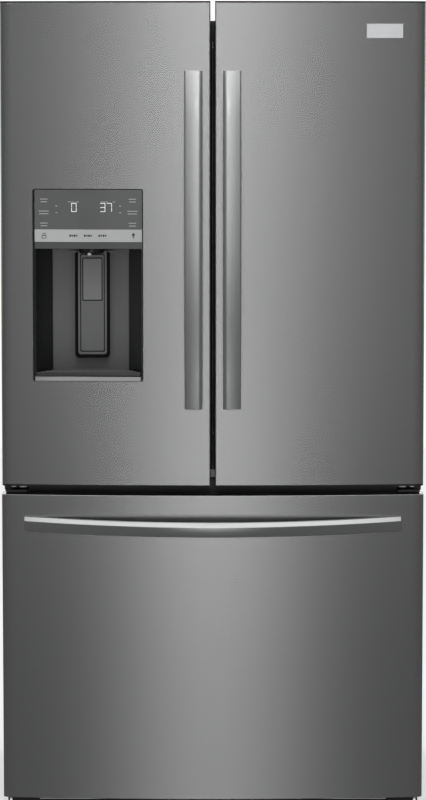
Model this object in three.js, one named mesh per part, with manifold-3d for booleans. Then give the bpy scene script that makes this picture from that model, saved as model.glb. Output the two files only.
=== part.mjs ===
// French door refrigerator with a bottom freezer drawer, 36 inch class.
// Millimetres, +Z up, the front faces -Y. The origin is on the floor, under the middle of the body's box.
import * as THREE from 'three';
import { mergeVertices } from 'three/addons/utils/BufferGeometryUtils.js';
import Module from 'manifold-3d';

const wasm = await Module();
wasm.setup();

// ---- driving dimensions ----
const GAP = 0.3; // between pieces that touch
const SHEET = 1.5; // steel sheet
const LINER = 2.5; // plastic liner wall
const TUB = 3; // wall of a bin or drawer tub

const CABINET = { halfWidth: 449, front: -287, back: 448, bottom: 30, top: 1738, frameBottom: 62 };
const REAR = 458; // rearmost face, on the compressor cover
const PANEL = { front: -390, bulge: 25, halfWidth: 453, back: -300 }; // the bowed front panels
const DOOR = { inner: 5, outer: 453, bottom: 743, top: 1778, rearTop: 1736, stepY: -352, cap: 3 };
const DRAWER = { halfWidth: 454, bottom: 62.5, top: 724.5 };
const HINGE = { x: 440, y: -330, pin: 6, hole: 6.4 };
const FRESH = { halfWidth: 402, bottom: 775, top: 1690, back: 390 };
const FREEZER = { halfWidth: 402, bottom: 112, top: 690, back: 390, lowBack: 190, stepZ: 300 };
const MACHINE = { front: 240, top: 262 }; // the compressor space, low at the back
const DYKE = { inner: 50, outer: 398, bottom: 790, top: 1680, back: -250, wall: 14 };
const GASKET = { front: PANEL.back + GAP, back: -288, width: 28 };
const DOOR_HANDLE = {
  inner: 22, outer: 60, bottom: 911.5, top: 1631.5, reach: -457, endReach: -404, bar: 15,
  foot: 40,
};
const DRAWER_HANDLE = {
  halfLength: 405, bottom: 640, top: 676, reach: -458, endReach: -387, bar: 16, foot: 37,
};
const DISPENSER = { left: -384.5, right: -148.3, bottom: 969.6, top: 1381.2, back: -292, wall: 4 };
const RECESS = {
  bottom: 980.1, top: 1253.1, frontLeft: -380, frontRight: -152, backLeft: -341,
  backRight: -185,
};
const PADDLE = { x: -259, halfWidth: 38, bottom: 1015.5, top: 1249.6, front: -318, back: -311, pin: 2.5 };
const PADDLE_PIVOT = { y: -314.5, z: 1244.6, reach: 47 };
const SPOUT = { y: -351, bottom: 1234.6, radius: 28, bore: 15 };
const MULLION = {
  x: -34, y: -271, near: -37, far: -18.5, front: -274, back: -208, bottom: 800, top: 1670,
  pin: 2.5,
};
const LEG = { x: 400, y: -245, foot: 22, stem: 5, bracketBottom: 40, pad: 12 };
const ROLLER = { x: 410, y: 400, radius: 19, halfWidth: 8, axle: 4 };
const RAIL = { bottom: 432, top: 458, middle: [384.5, 391], fixed: [391.5, 403] };
const PAST = 10; // how far a cutting block reaches past the face it opens
const BASE_PAN = { front: -279, back: 440, wall: 3, boss: 20 };
const TOE_GRILLE = {
  halfWidth: 440, front: -286, back: -280, bottom: 8, top: 61, slotHalf: 380,
  slotHeight: 5,
};
const BACK_PANEL = { halfWidth: 446, front: 446.2, bottom: 300, top: 1735 };
const TOP_HINGE = { inner: 405, outer: 446, front: -345, back: -215, lift: 0.4, thickness: 5, pinBottom: 1712 };
const HINGE_COVER = { inner: 395, outer: 448.5, front: -348, back: -205, top: 1774, wall: 2 };
const CENTER_HINGE = {
  inner: 400, outer: 447, front: -345, bottom: 727, top: 732, pinBottom: 728,
  pinLength: 24,
};
const HINGE_FLANGE = { bottom: 718, top: 746, thickness: 3 };
const HINGE_WASHER = { bottom: 731, height: 11.5, radius: 10 };
const SHELF = {
  inner: 6, outer: 396, front: -150, back: 360, thickness: 8, armFront: -60, armDrop: 44,
  armHalf: 3,
};
const CRISPER_LEDGE = { inner: 390, back: 385, bottom: 1041, top: 1047.5 };
const CRISPER_COVER = { halfWidth: 399, back: 383, bottom: 1048, top: 1056 };
const CRISPER = { inner: 4, outer: 396, front: -110, back: 340, bottom: 785, top: 1035 };
const ICE_MAKER = { left: -401.7, right: -175, front: -140, back: 330, bottom: 1440, top: 1689.7, wall: 3 };
const COMPRESSOR = { x: 250, y: 345, footHalfWidth: 90, footHalfDepth: 45, footTop: 66 };
const FAN = { x: -57, y: 345, z: 152, blades: 5, hub: 20, hubLength: 26, opening: 80 };
const SHROUD = { left: -101, right: -97, front: 252, back: 438, top: 246, armHalf: 7, motor: 24 };
const COVER = { halfWidth: 440, bottom: 34, top: 297, wall: 3, louvreHalf: 90, louvreHeight: 8 };
const CORD = { x: 380, z: 240, hole: 13, bush: 12, flange: 17 };
const VALVE = { x: -375, y: 436, halfWidth: 25, front: 415, back: 452, bottom: 214, top: 254 };
const LEDGE_TOP = 594; // upper basket ledges in the freezer
const PAN_TOP = 60; // floor of the compressor space

const panelRadius = (PANEL.halfWidth ** 2 + PANEL.bulge ** 2) / (2 * PANEL.bulge);

// Depth of the bowed front at a distance from the middle.
function frontAt(x) {
  return PANEL.front + panelRadius - Math.sqrt(panelRadius ** 2 - x ** 2);
}

// ---- finishes ----
function finish(color, roughness, metalness) {
  return { color, roughness, metalness };
}

const FINISH = {
  blackSteel: finish(0x626463, 0.34, 0.95),
  handleSteel: finish(0x8b8d8c, 0.3, 0.95),
  paintedSteel: finish(0x3a3b3c, 0.55, 0.3),
  zincSteel: finish(0xa3a5a4, 0.45, 0.85),
  liner: finish(0xe9eaea, 0.45, 0),
  blackPlastic: finish(0x17181a, 0.5, 0),
  greyPlastic: finish(0x55585a, 0.45, 0),
  clearPlastic: finish(0xcfd9dc, 0.2, 0),
  glass: finish(0x2b2d2f, 0.1, 0),
  shelfGlass: finish(0xb9cfc9, 0.08, 0),
  rubber: finish(0x2a2b2c, 0.8, 0),
  foam: finish(0xd8cfa6, 0.9, 0),
  badge: finish(0xc6c8ca, 0.3, 0.9),
  compressorPaint: finish(0x101112, 0.35, 0.4),
};

// ---- solids ----
function solid(geometry) {
  geometry.deleteAttribute('normal');
  geometry.deleteAttribute('uv');
  const merged = mergeVertices(geometry, 1e-4);
  const vertProperties = new Float32Array(merged.attributes.position.array);
  const triVerts = new Uint32Array(merged.index.array);
  return new wasm.Manifold(new wasm.Mesh({ numProp: 3, vertProperties, triVerts }));
}

function join(...pieces) {
  return pieces.reduce((whole, piece) => whole.add(piece));
}

function cut(whole, ...pieces) {
  return pieces.reduce((rest, piece) => rest.subtract(piece), whole);
}

// A box between two values on each axis, given in either order.
function box(xs, ys, zs) {
  const [sx, sy, sz] = [xs, ys, zs].map(([a, b]) => Math.abs(b - a));
  const [cx, cy, cz] = [xs, ys, zs].map(([a, b]) => (a + b) / 2);
  return solid(new THREE.BoxGeometry(sx, sy, sz).translate(cx, cy, cz));
}

function extrude(points, depth) {
  const shape = new THREE.Shape(points.map(([a, b]) => new THREE.Vector2(a, b)));
  return new THREE.ExtrudeGeometry(shape, { depth, bevelEnabled: false, steps: 1 });
}

// An outline of [x, y] points raised between two heights.
function prismZ(points, [low, high]) {
  return solid(extrude(points, high - low).translate(0, 0, low));
}

// An outline of [y, z] points drawn out between two values of x.
function prismX(points, [low, high]) {
  const turn = new THREE.Matrix4().makeBasis(
    new THREE.Vector3(0, 1, 0),
    new THREE.Vector3(0, 0, 1),
    new THREE.Vector3(1, 0, 0),
  );
  return solid(extrude(points, high - low).applyMatrix4(turn).translate(low, 0, 0));
}

const AXIS_TURN = { X: [0, 0, -Math.PI / 2], Y: [0, 0, 0], Z: [Math.PI / 2, 0, 0] };

// A round rod along an axis, from a start point.
function rod(axis, start, length, radius, sides = 24) {
  const geometry = new THREE.CylinderGeometry(radius, radius, length, sides).translate(0, length / 2, 0);
  geometry.applyMatrix4(new THREE.Matrix4().makeRotationFromEuler(new THREE.Euler(...AXIS_TURN[axis])));
  return solid(geometry.translate(...start));
}

// A turned solid about the vertical through a point, from [radius, height] points.
function turned(points, x, y, sides = 32) {
  const profile = points.map(([r, z]) => new THREE.Vector2(r, z));
  return solid(new THREE.LatheGeometry(profile, sides).rotateX(Math.PI / 2).translate(x, y, 0));
}

function arcPoints(cx, cy, radius, from, to, steps) {
  const points = [];
  for (let i = 0; i <= steps; i += 1) {
    const angle = from + ((to - from) * i) / steps;
    points.push([cx + radius * Math.cos(angle), cy + radius * Math.sin(angle)]);
  }
  return points;
}

// A shallow arch between two ends along t, whose value goes from end to middle and back.
function arch(tFrom, tTo, end, middle, steps) {
  const half = Math.abs(tTo - tFrom) / 2;
  const centre = (tFrom + tTo) / 2;
  const rise = Math.abs(middle - end);
  const radius = (half ** 2 + rise ** 2) / (2 * rise);
  const points = [];
  for (let i = 0; i <= steps; i += 1) {
    const t = tFrom + ((tTo - tFrom) * i) / steps;
    const drop = radius - Math.sqrt(radius ** 2 - (t - centre) ** 2);
    points.push([t, middle + Math.sign(end - middle) * drop]);
  }
  return points;
}

// An open-topped tub.
function tub(xs, ys, zs, wall = TUB) {
  const [x, y, z] = [xs, ys, zs].map((pair) => [...pair].sort((a, b) => a - b));
  const hollow = box([x[0] + wall, x[1] - wall], [y[0] + wall, y[1] - wall], [z[0] + wall, z[1] + wall]);
  return cut(box(x, y, z), hollow);
}

// A flat rectangular ring standing in the XZ plane.
function ring(xs, ys, zs, width) {
  const [x, y, z] = [xs, ys, zs].map((pair) => [...pair].sort((a, b) => a - b));
  const inside = box([x[0] + width, x[1] - width], [y[0] - 1, y[1] + 1], [z[0] + width, z[1] - width]);
  return cut(box(x, y, z), inside);
}

// ---- scene graph ----
const refrigerator = new THREE.Group();

function assembly(x = 0, y = 0, z = 0) {
  const group = new THREE.Group();
  group.position.set(x, y, z);
  refrigerator.add(group);
  return group;
}

// Puts a solid, given in the refrigerator's frame, into its assembly as a named piece.
function add(group, name, shape, look) {
  const { vertProperties, triVerts } = shape.getMesh();
  const geometry = new THREE.BufferGeometry();
  geometry.setAttribute('position', new THREE.BufferAttribute(new Float32Array(vertProperties), 3));
  geometry.setIndex(new THREE.BufferAttribute(new Uint32Array(triVerts), 1));
  geometry.translate(-group.position.x, -group.position.y, -group.position.z);
  geometry.computeVertexNormals();
  const mesh = new THREE.Mesh(geometry, new THREE.MeshStandardMaterial(look));
  mesh.name = name;
  group.add(mesh);
}

const SIDES = [['left', -1], ['right', 1]];

function across(side, from, to) {
  return [side * from, side * to];
}

// ---- cabinet ----
function cabinetShell() {
  const { halfWidth, front, back, bottom, top, frameBottom } = CABINET;
  const inside = halfWidth - SHEET;
  const outer = box([-halfWidth, halfWidth], [front, back], [bottom, top]);
  const hollow = box([-inside, inside], [front + SHEET, back + PAST], [bottom - PAST, top - SHEET]);
  const underFrame = box([-inside, inside], [front - PAST, front + PAST], [bottom - PAST, frameBottom]);
  const open = FRESH.halfWidth + LINER + 0.5;
  const mouths = [FRESH, FREEZER].map((room) => {
    const zs = [room.bottom - LINER - GAP, room.top + LINER + GAP];
    return box([-open, open], [front - PAST, front + PAST], zs);
  });
  return cut(outer, hollow, underFrame, ...mouths);
}

function linerOuter(grow) {
  const side = FRESH.halfWidth + LINER + grow;
  const deep = FRESH.back + LINER + grow;
  const start = CABINET.front - grow;
  const fresh = box([-side, side], [start, deep], [FRESH.bottom - LINER - grow, FRESH.top + LINER + grow]);
  const lowDeep = FREEZER.lowBack + LINER + grow;
  const freezerTop = FREEZER.top + LINER + grow;
  const low = box([-side, side], [start, lowDeep], [FREEZER.bottom - LINER - grow, freezerTop]);
  const high = box([-side, side], [start, deep], [FREEZER.stepZ - LINER - grow, freezerTop]);
  return { fresh, freezer: join(low, high) };
}

function cabinetFoam() {
  const side = CABINET.halfWidth - SHEET - GAP;
  const ys = [CABINET.front + SHEET + GAP, CABINET.back - 2.1];
  const block = box([-side, side], ys, [CABINET.frameBottom + GAP, CABINET.top - SHEET - GAP]);
  const machineSpace = box([-side - 1, side + 1], [MACHINE.front, REAR], [0, MACHINE.top]);
  const { fresh, freezer } = linerOuter(GAP);
  return cut(block, machineSpace, fresh, freezer);
}

const SHELF_TRACKS = [70, 330];
const TRACK = { halfWidth: 6, front: 384, bottom: 1100, top: 1430 };

function freshFoodLiner() {
  const { halfWidth, bottom, top, back } = FRESH;
  const hollow = box([-halfWidth, halfWidth], [CABINET.front - PAST, back], [bottom, top]);
  const ledge = CRISPER_LEDGE;
  const trackZs = [TRACK.bottom, TRACK.top];
  const track = (u) => [u - TRACK.halfWidth, u + TRACK.halfWidth];
  const ribs = SIDES.flatMap(([, side]) => [
    box(across(side, ledge.inner, halfWidth + 1), [SHELF.front, ledge.back], [ledge.bottom, ledge.top]),
    ...SHELF_TRACKS.map((u) => box(across(side, ...track(u)), [TRACK.front, back + 1], trackZs)),
  ]);
  return join(cut(linerOuter(0).fresh, hollow), ...ribs);
}

function freezerLiner() {
  const { halfWidth, bottom, top, back, lowBack, stepZ } = FREEZER;
  const low = box([-halfWidth, halfWidth], [CABINET.front - PAST, lowBack], [bottom, top]);
  const high = box([-halfWidth, halfWidth], [CABINET.front - PAST, back], [stepZ, top]);
  const rails = SIDES.flatMap(([, side]) => [
    box(across(side, ...RAIL.fixed), [-280, 185], [RAIL.bottom, RAIL.top]),
    box(across(side, 386, halfWidth + 1), [-270, 385], [LEDGE_TOP - 6, LEDGE_TOP]),
  ]);
  return join(cut(linerOuter(0).freezer, low, high), ...rails);
}

// One of the two ears that carry a roller's axle.
function rollerEar(hand, start) {
  const ear = box(across(hand, start, start + 4), [ROLLER.y - 16, ROLLER.y + 16], [8, 58]);
  const low = Math.min(hand * start, hand * (start + 4)) - 1;
  return cut(ear, rod('X', [low, ROLLER.y, ROLLER.radius], 6, ROLLER.axle + 0.4));
}

function basePan() {
  const side = CABINET.halfWidth - SHEET - GAP;
  const { front, back, wall, boss } = BASE_PAN;
  const tray = box([-side, side], [front, back], [LEG.bracketBottom, PAN_TOP]);
  const underZs = [LEG.bracketBottom - 1, PAN_TOP - wall];
  const under = box([-side + wall, side - wall], [front + wall, back - wall], underZs);
  const bossZs = [LEG.bracketBottom, PAN_TOP - 2];
  const supports = SIDES.flatMap(([, hand]) => [
    box(across(hand, LEG.x - boss, LEG.x + boss), [LEG.y - boss, LEG.y + boss], bossZs),
    rollerEar(hand, ROLLER.x - 14),
    rollerEar(hand, ROLLER.x + 10),
  ]);
  const legHoles = SIDES.map(([, hand]) => rod('Z', [hand * LEG.x, LEG.y, 30], 31, LEG.stem + 0.4));
  return cut(join(cut(tray, under), ...supports), ...legHoles);
}

function toeGrille() {
  const { halfWidth, front, back, bottom, top, slotHalf, slotHeight } = TOE_GRILLE;
  const plate = box([-halfWidth, halfWidth], [front, back], [bottom, top]);
  const slots = [20, 30, 40].map((z) => box([-slotHalf, slotHalf], [front - 4, back + 5], [z, z + slotHeight]));
  return cut(plate, ...slots);
}

function topHinge(side) {
  const { inner, outer, front, back, lift, thickness, pinBottom } = TOP_HINGE;
  const bottom = CABINET.top + lift;
  const plate = box(across(side, inner, outer), [front, back], [bottom, bottom + thickness]);
  const pinLength = CABINET.top + thickness - pinBottom;
  return join(plate, rod('Z', [side * HINGE.x, HINGE.y, pinBottom], pinLength, HINGE.pin));
}

function hingeCover(side) {
  const { inner, outer, front, back, top, wall } = HINGE_COVER;
  const block = box(across(side, inner, outer), [front, back], [CABINET.top + TOP_HINGE.lift, top]);
  const hollowXs = across(side, inner + wall, outer - wall);
  return cut(block, box(hollowXs, [front + wall, back - wall], [CABINET.top - PAST, top - wall]));
}

function centerHinge(side) {
  const { inner, outer, front, bottom, top, pinBottom, pinLength } = CENTER_HINGE;
  const back = CABINET.front - GAP;
  const xs = across(side, inner, outer);
  const plate = box(xs, [front, back], [bottom, top]);
  const flange = box(xs, [back - HINGE_FLANGE.thickness, back], [HINGE_FLANGE.bottom, HINGE_FLANGE.top]);
  const washerStart = [side * HINGE.x, HINGE.y, HINGE_WASHER.bottom];
  const washer = rod('Z', washerStart, HINGE_WASHER.height, HINGE_WASHER.radius);
  return join(plate, flange, washer, rod('Z', [side * HINGE.x, HINGE.y, pinBottom], pinLength, HINGE.pin));
}

function glassShelf(side, z) {
  const { inner, outer, front, back, thickness, armFront, armDrop, armHalf } = SHELF;
  const plate = box(across(side, inner, outer), [front, back], [z, z + thickness]);
  const arms = SHELF_TRACKS.map((u) => {
    const armBack = TRACK.front - GAP;
    const outline = [[armFront, z + 1], [armBack, z + 1], [armBack, z - armDrop], [back, z - armDrop]];
    const centre = side * u;
    return prismX(outline, [centre - armHalf, centre + armHalf]);
  });
  return join(plate, ...arms);
}

function iceMakerHousing() {
  const { left, right, front, back, bottom, top, wall } = ICE_MAKER;
  const outer = box([left, right], [front, back], [bottom, top]);
  return cut(outer, box([left + wall, right - wall], [front - PAST, back - wall], [bottom + wall, top - wall]));
}

function compressor() {
  const profile = [[0, 62], [62, 62], [80, 76], [82, 150], [74, 188], [48, 208], [0, 214]];
  const { x, y, footHalfWidth, footHalfDepth, footTop } = COMPRESSOR;
  const body = turned(profile, x, y);
  const footXs = [x - footHalfWidth, x + footHalfWidth];
  return join(body, box(footXs, [y - footHalfDepth, y + footHalfDepth], [PAN_TOP + 0.4, footTop]));
}

function fanShroud() {
  const { left, right, front, back, top, armHalf, motor } = SHROUD;
  const plate = box([left, right], [front, back], [PAN_TOP + 0.4, top]);
  const hole = rod('X', [left - 9, FAN.y, FAN.z], 20, FAN.opening, 32);
  const arm = box([left, right], [FAN.y - armHalf, FAN.y + armHalf], [PAN_TOP + 2, top - 2]);
  const motorBody = rod('X', [left, FAN.y, FAN.z], motor, motor);
  return join(cut(plate, hole), arm, motorBody);
}

function condenserFan() {
  const hub = rod('X', [FAN.x - FAN.hubLength / 2, FAN.y, FAN.z], FAN.hubLength, FAN.hub);
  const blades = Array.from({ length: FAN.blades }, (_, i) => {
    const blade = new THREE.BoxGeometry(3, 34, 56).rotateZ(0.5).translate(0, 0, 44);
    blade.rotateX((i * 2 * Math.PI) / FAN.blades).translate(FAN.x, FAN.y, FAN.z);
    return solid(blade);
  });
  return join(hub, ...blades);
}

function compressorCover() {
  const { halfWidth, bottom, top, wall, louvreHalf, louvreHeight } = COVER;
  const inside = halfWidth - wall;
  const outer = box([-halfWidth, halfWidth], [CABINET.back + GAP, REAR], [bottom, top]);
  const hollow = box([-inside, inside], [CABINET.back - 5, REAR - SHEET], [bottom + wall, top - wall]);
  const louvres = [-300, 0, 260].flatMap((x) => [80, 100, 120, 140, 160].map(
    (z) => box([x - louvreHalf, x + louvreHalf], [REAR - 5, REAR + 5], [z, z + louvreHeight]),
  ));
  const valveHole = box([-412, -338], [REAR - 5, REAR + 5], [196, 262]);
  const cordHole = rod('Y', [CORD.x, REAR - 5, CORD.z], 10, CORD.hole);
  return cut(outer, hollow, ...louvres, valveHole, cordHole);
}

function waterInletValve() {
  const { x, y, halfWidth, front, back, bottom, top } = VALVE;
  const body = box([x - halfWidth, x + halfWidth], [front, back], [bottom, top]);
  return join(body, rod('Z', [x, y, bottom - 14], 20, 12), rod('Z', [x, y, top - 4], 12, 9));
}

function powerInlet() {
  const bush = rod('Y', [CORD.x, REAR - 6, CORD.z], 5.5, CORD.bush);
  return join(bush, rod('Y', [CORD.x, REAR - 12, CORD.z], 8, CORD.flange));
}

function buildCabinet() {
  const cabinet = assembly();
  add(cabinet, 'cabinet_shell', cabinetShell(), FINISH.paintedSteel);
  const backXs = [-BACK_PANEL.halfWidth, BACK_PANEL.halfWidth];
  const backPanel = box(backXs, [BACK_PANEL.front, CABINET.back], [BACK_PANEL.bottom, BACK_PANEL.top]);
  add(cabinet, 'back_panel', backPanel, FINISH.zincSteel);
  add(cabinet, 'cabinet_foam', cabinetFoam(), FINISH.foam);
  add(cabinet, 'fresh_food_liner', freshFoodLiner(), FINISH.liner);
  add(cabinet, 'freezer_liner', freezerLiner(), FINISH.liner);
  add(cabinet, 'base_pan', basePan(), FINISH.zincSteel);
  add(cabinet, 'toe_grille', toeGrille(), FINISH.blackPlastic);
  for (const [word, side] of SIDES) {
    add(cabinet, `top_hinge_${word}`, topHinge(side), FINISH.zincSteel);
    add(cabinet, `hinge_cover_${word}`, hingeCover(side), FINISH.blackPlastic);
    add(cabinet, `center_hinge_${word}`, centerHinge(side), FINISH.zincSteel);
  }
  add(cabinet, 'glass_shelf_left', glassShelf(-1, 1262), FINISH.shelfGlass);
  add(cabinet, 'glass_shelf_right', glassShelf(1, 1352), FINISH.shelfGlass);
  const coverXs = [-CRISPER_COVER.halfWidth, CRISPER_COVER.halfWidth];
  const coverZs = [CRISPER_COVER.bottom, CRISPER_COVER.top];
  const crisperCover = box(coverXs, [SHELF.front, CRISPER_COVER.back], coverZs);
  add(cabinet, 'crisper_cover', crisperCover, FINISH.shelfGlass);
  add(cabinet, 'ice_maker_housing', iceMakerHousing(), FINISH.liner);
  add(cabinet, 'compressor', compressor(), FINISH.compressorPaint);
  add(cabinet, 'fan_shroud', fanShroud(), FINISH.blackPlastic);
  add(cabinet, 'compressor_cover', compressorCover(), FINISH.zincSteel);
  add(cabinet, 'water_inlet_valve', waterInletValve(), FINISH.liner);
  add(cabinet, 'power_inlet', powerInlet(), FINISH.blackPlastic);
  add(assembly(FAN.x, FAN.y, FAN.z), 'condenser_fan', condenserFan(), FINISH.greyPlastic);
}

// ---- feet ----
function levellingLeg(side) {
  const { foot, pad, stem } = LEG;
  const profile = [[0, 0], [foot, 0], [foot, 8], [9, pad], [stem, pad + 3], [stem, 55], [0, 55]];
  return turned(profile, side * LEG.x, LEG.y, 24);
}

function rearRoller(side) {
  const { x, y, radius, halfWidth, axle } = ROLLER;
  const wheel = rod('X', [side * x - halfWidth, y, radius], 2 * halfWidth, radius, 32);
  return join(wheel, rod('X', [side * x - 13, y, radius], 26, axle));
}

function buildFeet() {
  for (const [word, side] of SIDES) {
    add(assembly(side * LEG.x, LEG.y, 0), `levelling_leg_${word}`, levellingLeg(side), FINISH.blackPlastic);
    const rollerFrame = assembly(side * ROLLER.x, ROLLER.y, ROLLER.radius);
    add(rollerFrame, `rear_roller_${word}`, rearRoller(side), FINISH.greyPlastic);
  }
}

// ---- doors ----
// The plan of a door: flat sides, a bowed front and rounded front corners, inset all round by a wall.
function doorPlan(side, inset, back) {
  const inner = DOOR.inner + inset;
  const outer = DOOR.outer - inset;
  const smallRound = 4 - inset / 2;
  const largeRound = 12 - inset;
  const innerY = frontAt(inner + smallRound) + inset;
  const outerY = frontAt(outer - largeRound) + inset;
  const points = [[inner, back]];
  points.push(...arcPoints(inner + smallRound, innerY + smallRound, smallRound, Math.PI, 1.5 * Math.PI, 3));
  const from = inner + smallRound;
  const to = outer - largeRound;
  const steps = 9;
  for (let i = 1; i < steps; i += 1) {
    const u = from + ((to - from) * i) / steps;
    points.push([u, frontAt(u) + inset]);
  }
  points.push(...arcPoints(to, outerY + largeRound, largeRound, 1.5 * Math.PI, 2 * Math.PI, 4));
  points.push([outer, back]);
  return points.map(([u, y]) => [side * u, y]);
}

const SKIN_FILL = SHEET + GAP;
const INNER_PANEL = { bottom: 756, top: 1729.7 };
const TOP_CAP_BOTTOM = 1730;
const DOOR_GASKET = { inner: 8, outer: 446, bottom: 748, top: 1730 };
const BUMP = { left: -397, right: -137, back: -262, bottom: 934, top: 1400 }; // behind the dispenser
const DOOR_BIN = { bottom: 806, top: 905, back: -238 };

function doorSkin(side) {
  const zs = [DOOR.bottom + DOOR.cap + GAP, DOOR.top - DOOR.cap - GAP];
  const outer = prismZ(doorPlan(side, 0, PANEL.back), zs);
  const hollow = prismZ(doorPlan(side, SHEET, PANEL.back + 10), [zs[0] - 1, zs[1] + 1]);
  const rearStep = box(across(side, 0, 460), [DOOR.stepY, -290], [DOOR.rearTop, DOOR.top]);
  return cut(outer, hollow, rearStep);
}

function doorInnerPanel(side) {
  const fill = prismZ(doorPlan(side, SKIN_FILL, PANEL.back), [INNER_PANEL.bottom, INNER_PANEL.top]);
  const dykeXs = across(side, DYKE.inner, DYKE.outer);
  const dyke = ring(dykeXs, [PANEL.back - 1, DYKE.back], [DYKE.bottom, DYKE.top], DYKE.wall);
  const pinWell = rod('Z', [side * HINGE.x, HINGE.y, 1705], 30, HINGE.hole + 1);
  return cut(join(fill, dyke), pinWell);
}

function leftInnerPanel() {
  const bump = box([BUMP.left, BUMP.right], [PANEL.back - 1, BUMP.back], [BUMP.bottom, BUMP.top]);
  const pocket = box(
    [DISPENSER.left - GAP, DISPENSER.right + GAP],
    [-420, DISPENSER.back + GAP],
    [DISPENSER.bottom - GAP, DISPENSER.top + GAP],
  );
  const ears = [[MULLION.bottom - 7, MULLION.bottom - 1], [MULLION.top + 1, MULLION.top + 7]].map((zs) => {
    const ear = box([-DYKE.inner - 1, -28.5], [-280, BUMP.back], zs);
    return cut(ear, rod('Z', [MULLION.x, MULLION.y, zs[0] - 1], 8, MULLION.pin + 0.4, 16));
  });
  return join(cut(join(doorInnerPanel(-1), bump), pocket), ...ears);
}

function doorTopCap(side) {
  const { top, cap, rearTop, stepY } = DOOR;
  const rear = prismZ(doorPlan(side, SKIN_FILL, PANEL.back), [TOP_CAP_BOTTOM, rearTop]);
  const block = prismZ(doorPlan(side, SKIN_FILL, stepY), [TOP_CAP_BOTTOM, top - cap]);
  const lid = prismZ(doorPlan(side, 0, stepY), [top - cap, top]);
  const hole = rod('Z', [side * HINGE.x, HINGE.y, TOP_CAP_BOTTOM - PAST], 30, HINGE.hole);
  return cut(join(rear, block, lid), hole);
}

function doorBottomCap(side) {
  const lid = prismZ(doorPlan(side, 0, PANEL.back), [DOOR.bottom, DOOR.bottom + DOOR.cap]);
  const plugZs = [DOOR.bottom + DOOR.cap, INNER_PANEL.bottom - GAP];
  const plug = prismZ(doorPlan(side, SKIN_FILL, PANEL.back), plugZs);
  return cut(join(lid, plug), rod('Z', [side * HINGE.x, HINGE.y, DOOR.bottom - 1], 12.5, HINGE.hole));
}

function doorGasket(side) {
  const { inner, outer, bottom, top } = DOOR_GASKET;
  return ring(across(side, inner, outer), [GASKET.front, GASKET.back], [bottom, top], GASKET.width);
}

// An arched bar with solid feet: [t, y] points, where t runs along the bar.
function handleOutline(from, to, spec, footEnd, footInner) {
  const outside = arch(from, to, spec.endReach, spec.reach, 16);
  const inside = arch(to - spec.foot, from + spec.foot, footInner, spec.reach + spec.bar, 16);
  return [...outside, [to, footEnd], ...inside, [from, footEnd]];
}

function doorHandle(side) {
  const foot = PANEL.front - GAP;
  const outline = handleOutline(DOOR_HANDLE.bottom, DOOR_HANDLE.top, DOOR_HANDLE, foot, foot);
  const xs = across(side, DOOR_HANDLE.inner, DOOR_HANDLE.outer).sort((a, b) => a - b);
  return prismX(outline.map(([z, y]) => [y, z]), xs);
}

function bin(side, zs, back) {
  const xs = across(side, DYKE.inner + DYKE.wall + 0.5, DYKE.outer - DYKE.wall - 0.5);
  return tub(xs, [PANEL.back + GAP, back], zs);
}

const DAIRY = { bottom: 1455, top: 1555, back: -205, pivotY: -294.5, pivotZ: 1559, pin: 2 };
const DAIRY_EARS = [[64.5, 69.5], [378.5, 383.5]];
const DAIRY_LID = {
  left: 70.5, right: 377.5, back: DAIRY.back + 3.5, top: DAIRY.top + 5, lip: 23,
  pinLeft: 66, pinLength: 316,
};

function dairyBox() {
  const ears = DAIRY_EARS.map(([from, to]) => {
    const ear = box([from, to], [PANEL.back + GAP, -289], [DAIRY.top - 1, DAIRY.pivotZ + 5]);
    return cut(ear, rod('X', [from - 1, DAIRY.pivotY, DAIRY.pivotZ], 7, DAIRY.pin + 0.4, 16));
  });
  return join(bin(1, [DAIRY.bottom, DAIRY.top], DAIRY.back), ...ears);
}

function dairyLid() {
  const { left, right, back, top, lip, pinLeft, pinLength } = DAIRY_LID;
  const plate = box([left, right], [DAIRY.pivotY - 2, back], [top - 3.5, top]);
  const edge = box([left, right], [back - 2.5, back], [top - lip, top]);
  return join(plate, edge, rod('X', [pinLeft, DAIRY.pivotY, DAIRY.pivotZ], pinLength, DAIRY.pin, 16));
}

function nameplate() {
  const outline = [326.4, 352.1, 377.9, 403.6].map((x) => [x, frontAt(x) - 1.8]);
  const behind = outline.map(([x, y]) => [x, y + 1.4]).reverse();
  return prismZ([...outline, ...behind], [1700.5, 1730.3]);
}

// ---- dispenser ----
function recessPlan(grow) {
  const back = DISPENSER.back - DISPENSER.wall + grow;
  return [
    [RECESS.frontLeft - grow, -420],
    [RECESS.frontRight + grow, -420],
    [RECESS.frontRight + grow, -378],
    [RECESS.backRight + grow, back],
    [RECESS.backLeft - grow, back],
    [RECESS.frontLeft - grow, -378],
  ];
}

// A strip that follows the bowed front, between two depths behind it.
function frontStrip(left, right, near, far, zs) {
  const steps = 5;
  const xs = Array.from({ length: steps + 1 }, (_, i) => left + ((right - left) * i) / steps);
  const outside = xs.map((x) => [x, frontAt(x) + near]);
  const inside = far === null
    ? [[right, DISPENSER.back], [left, DISPENSER.back]]
    : xs.map((x) => [x, frontAt(x) + far]).reverse();
  return prismZ([...outside, ...inside], zs);
}

const PANEL_BED = { left: -382, right: -150.8, depth: 8, bottom: 1253.6, top: 1379.1 };

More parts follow.
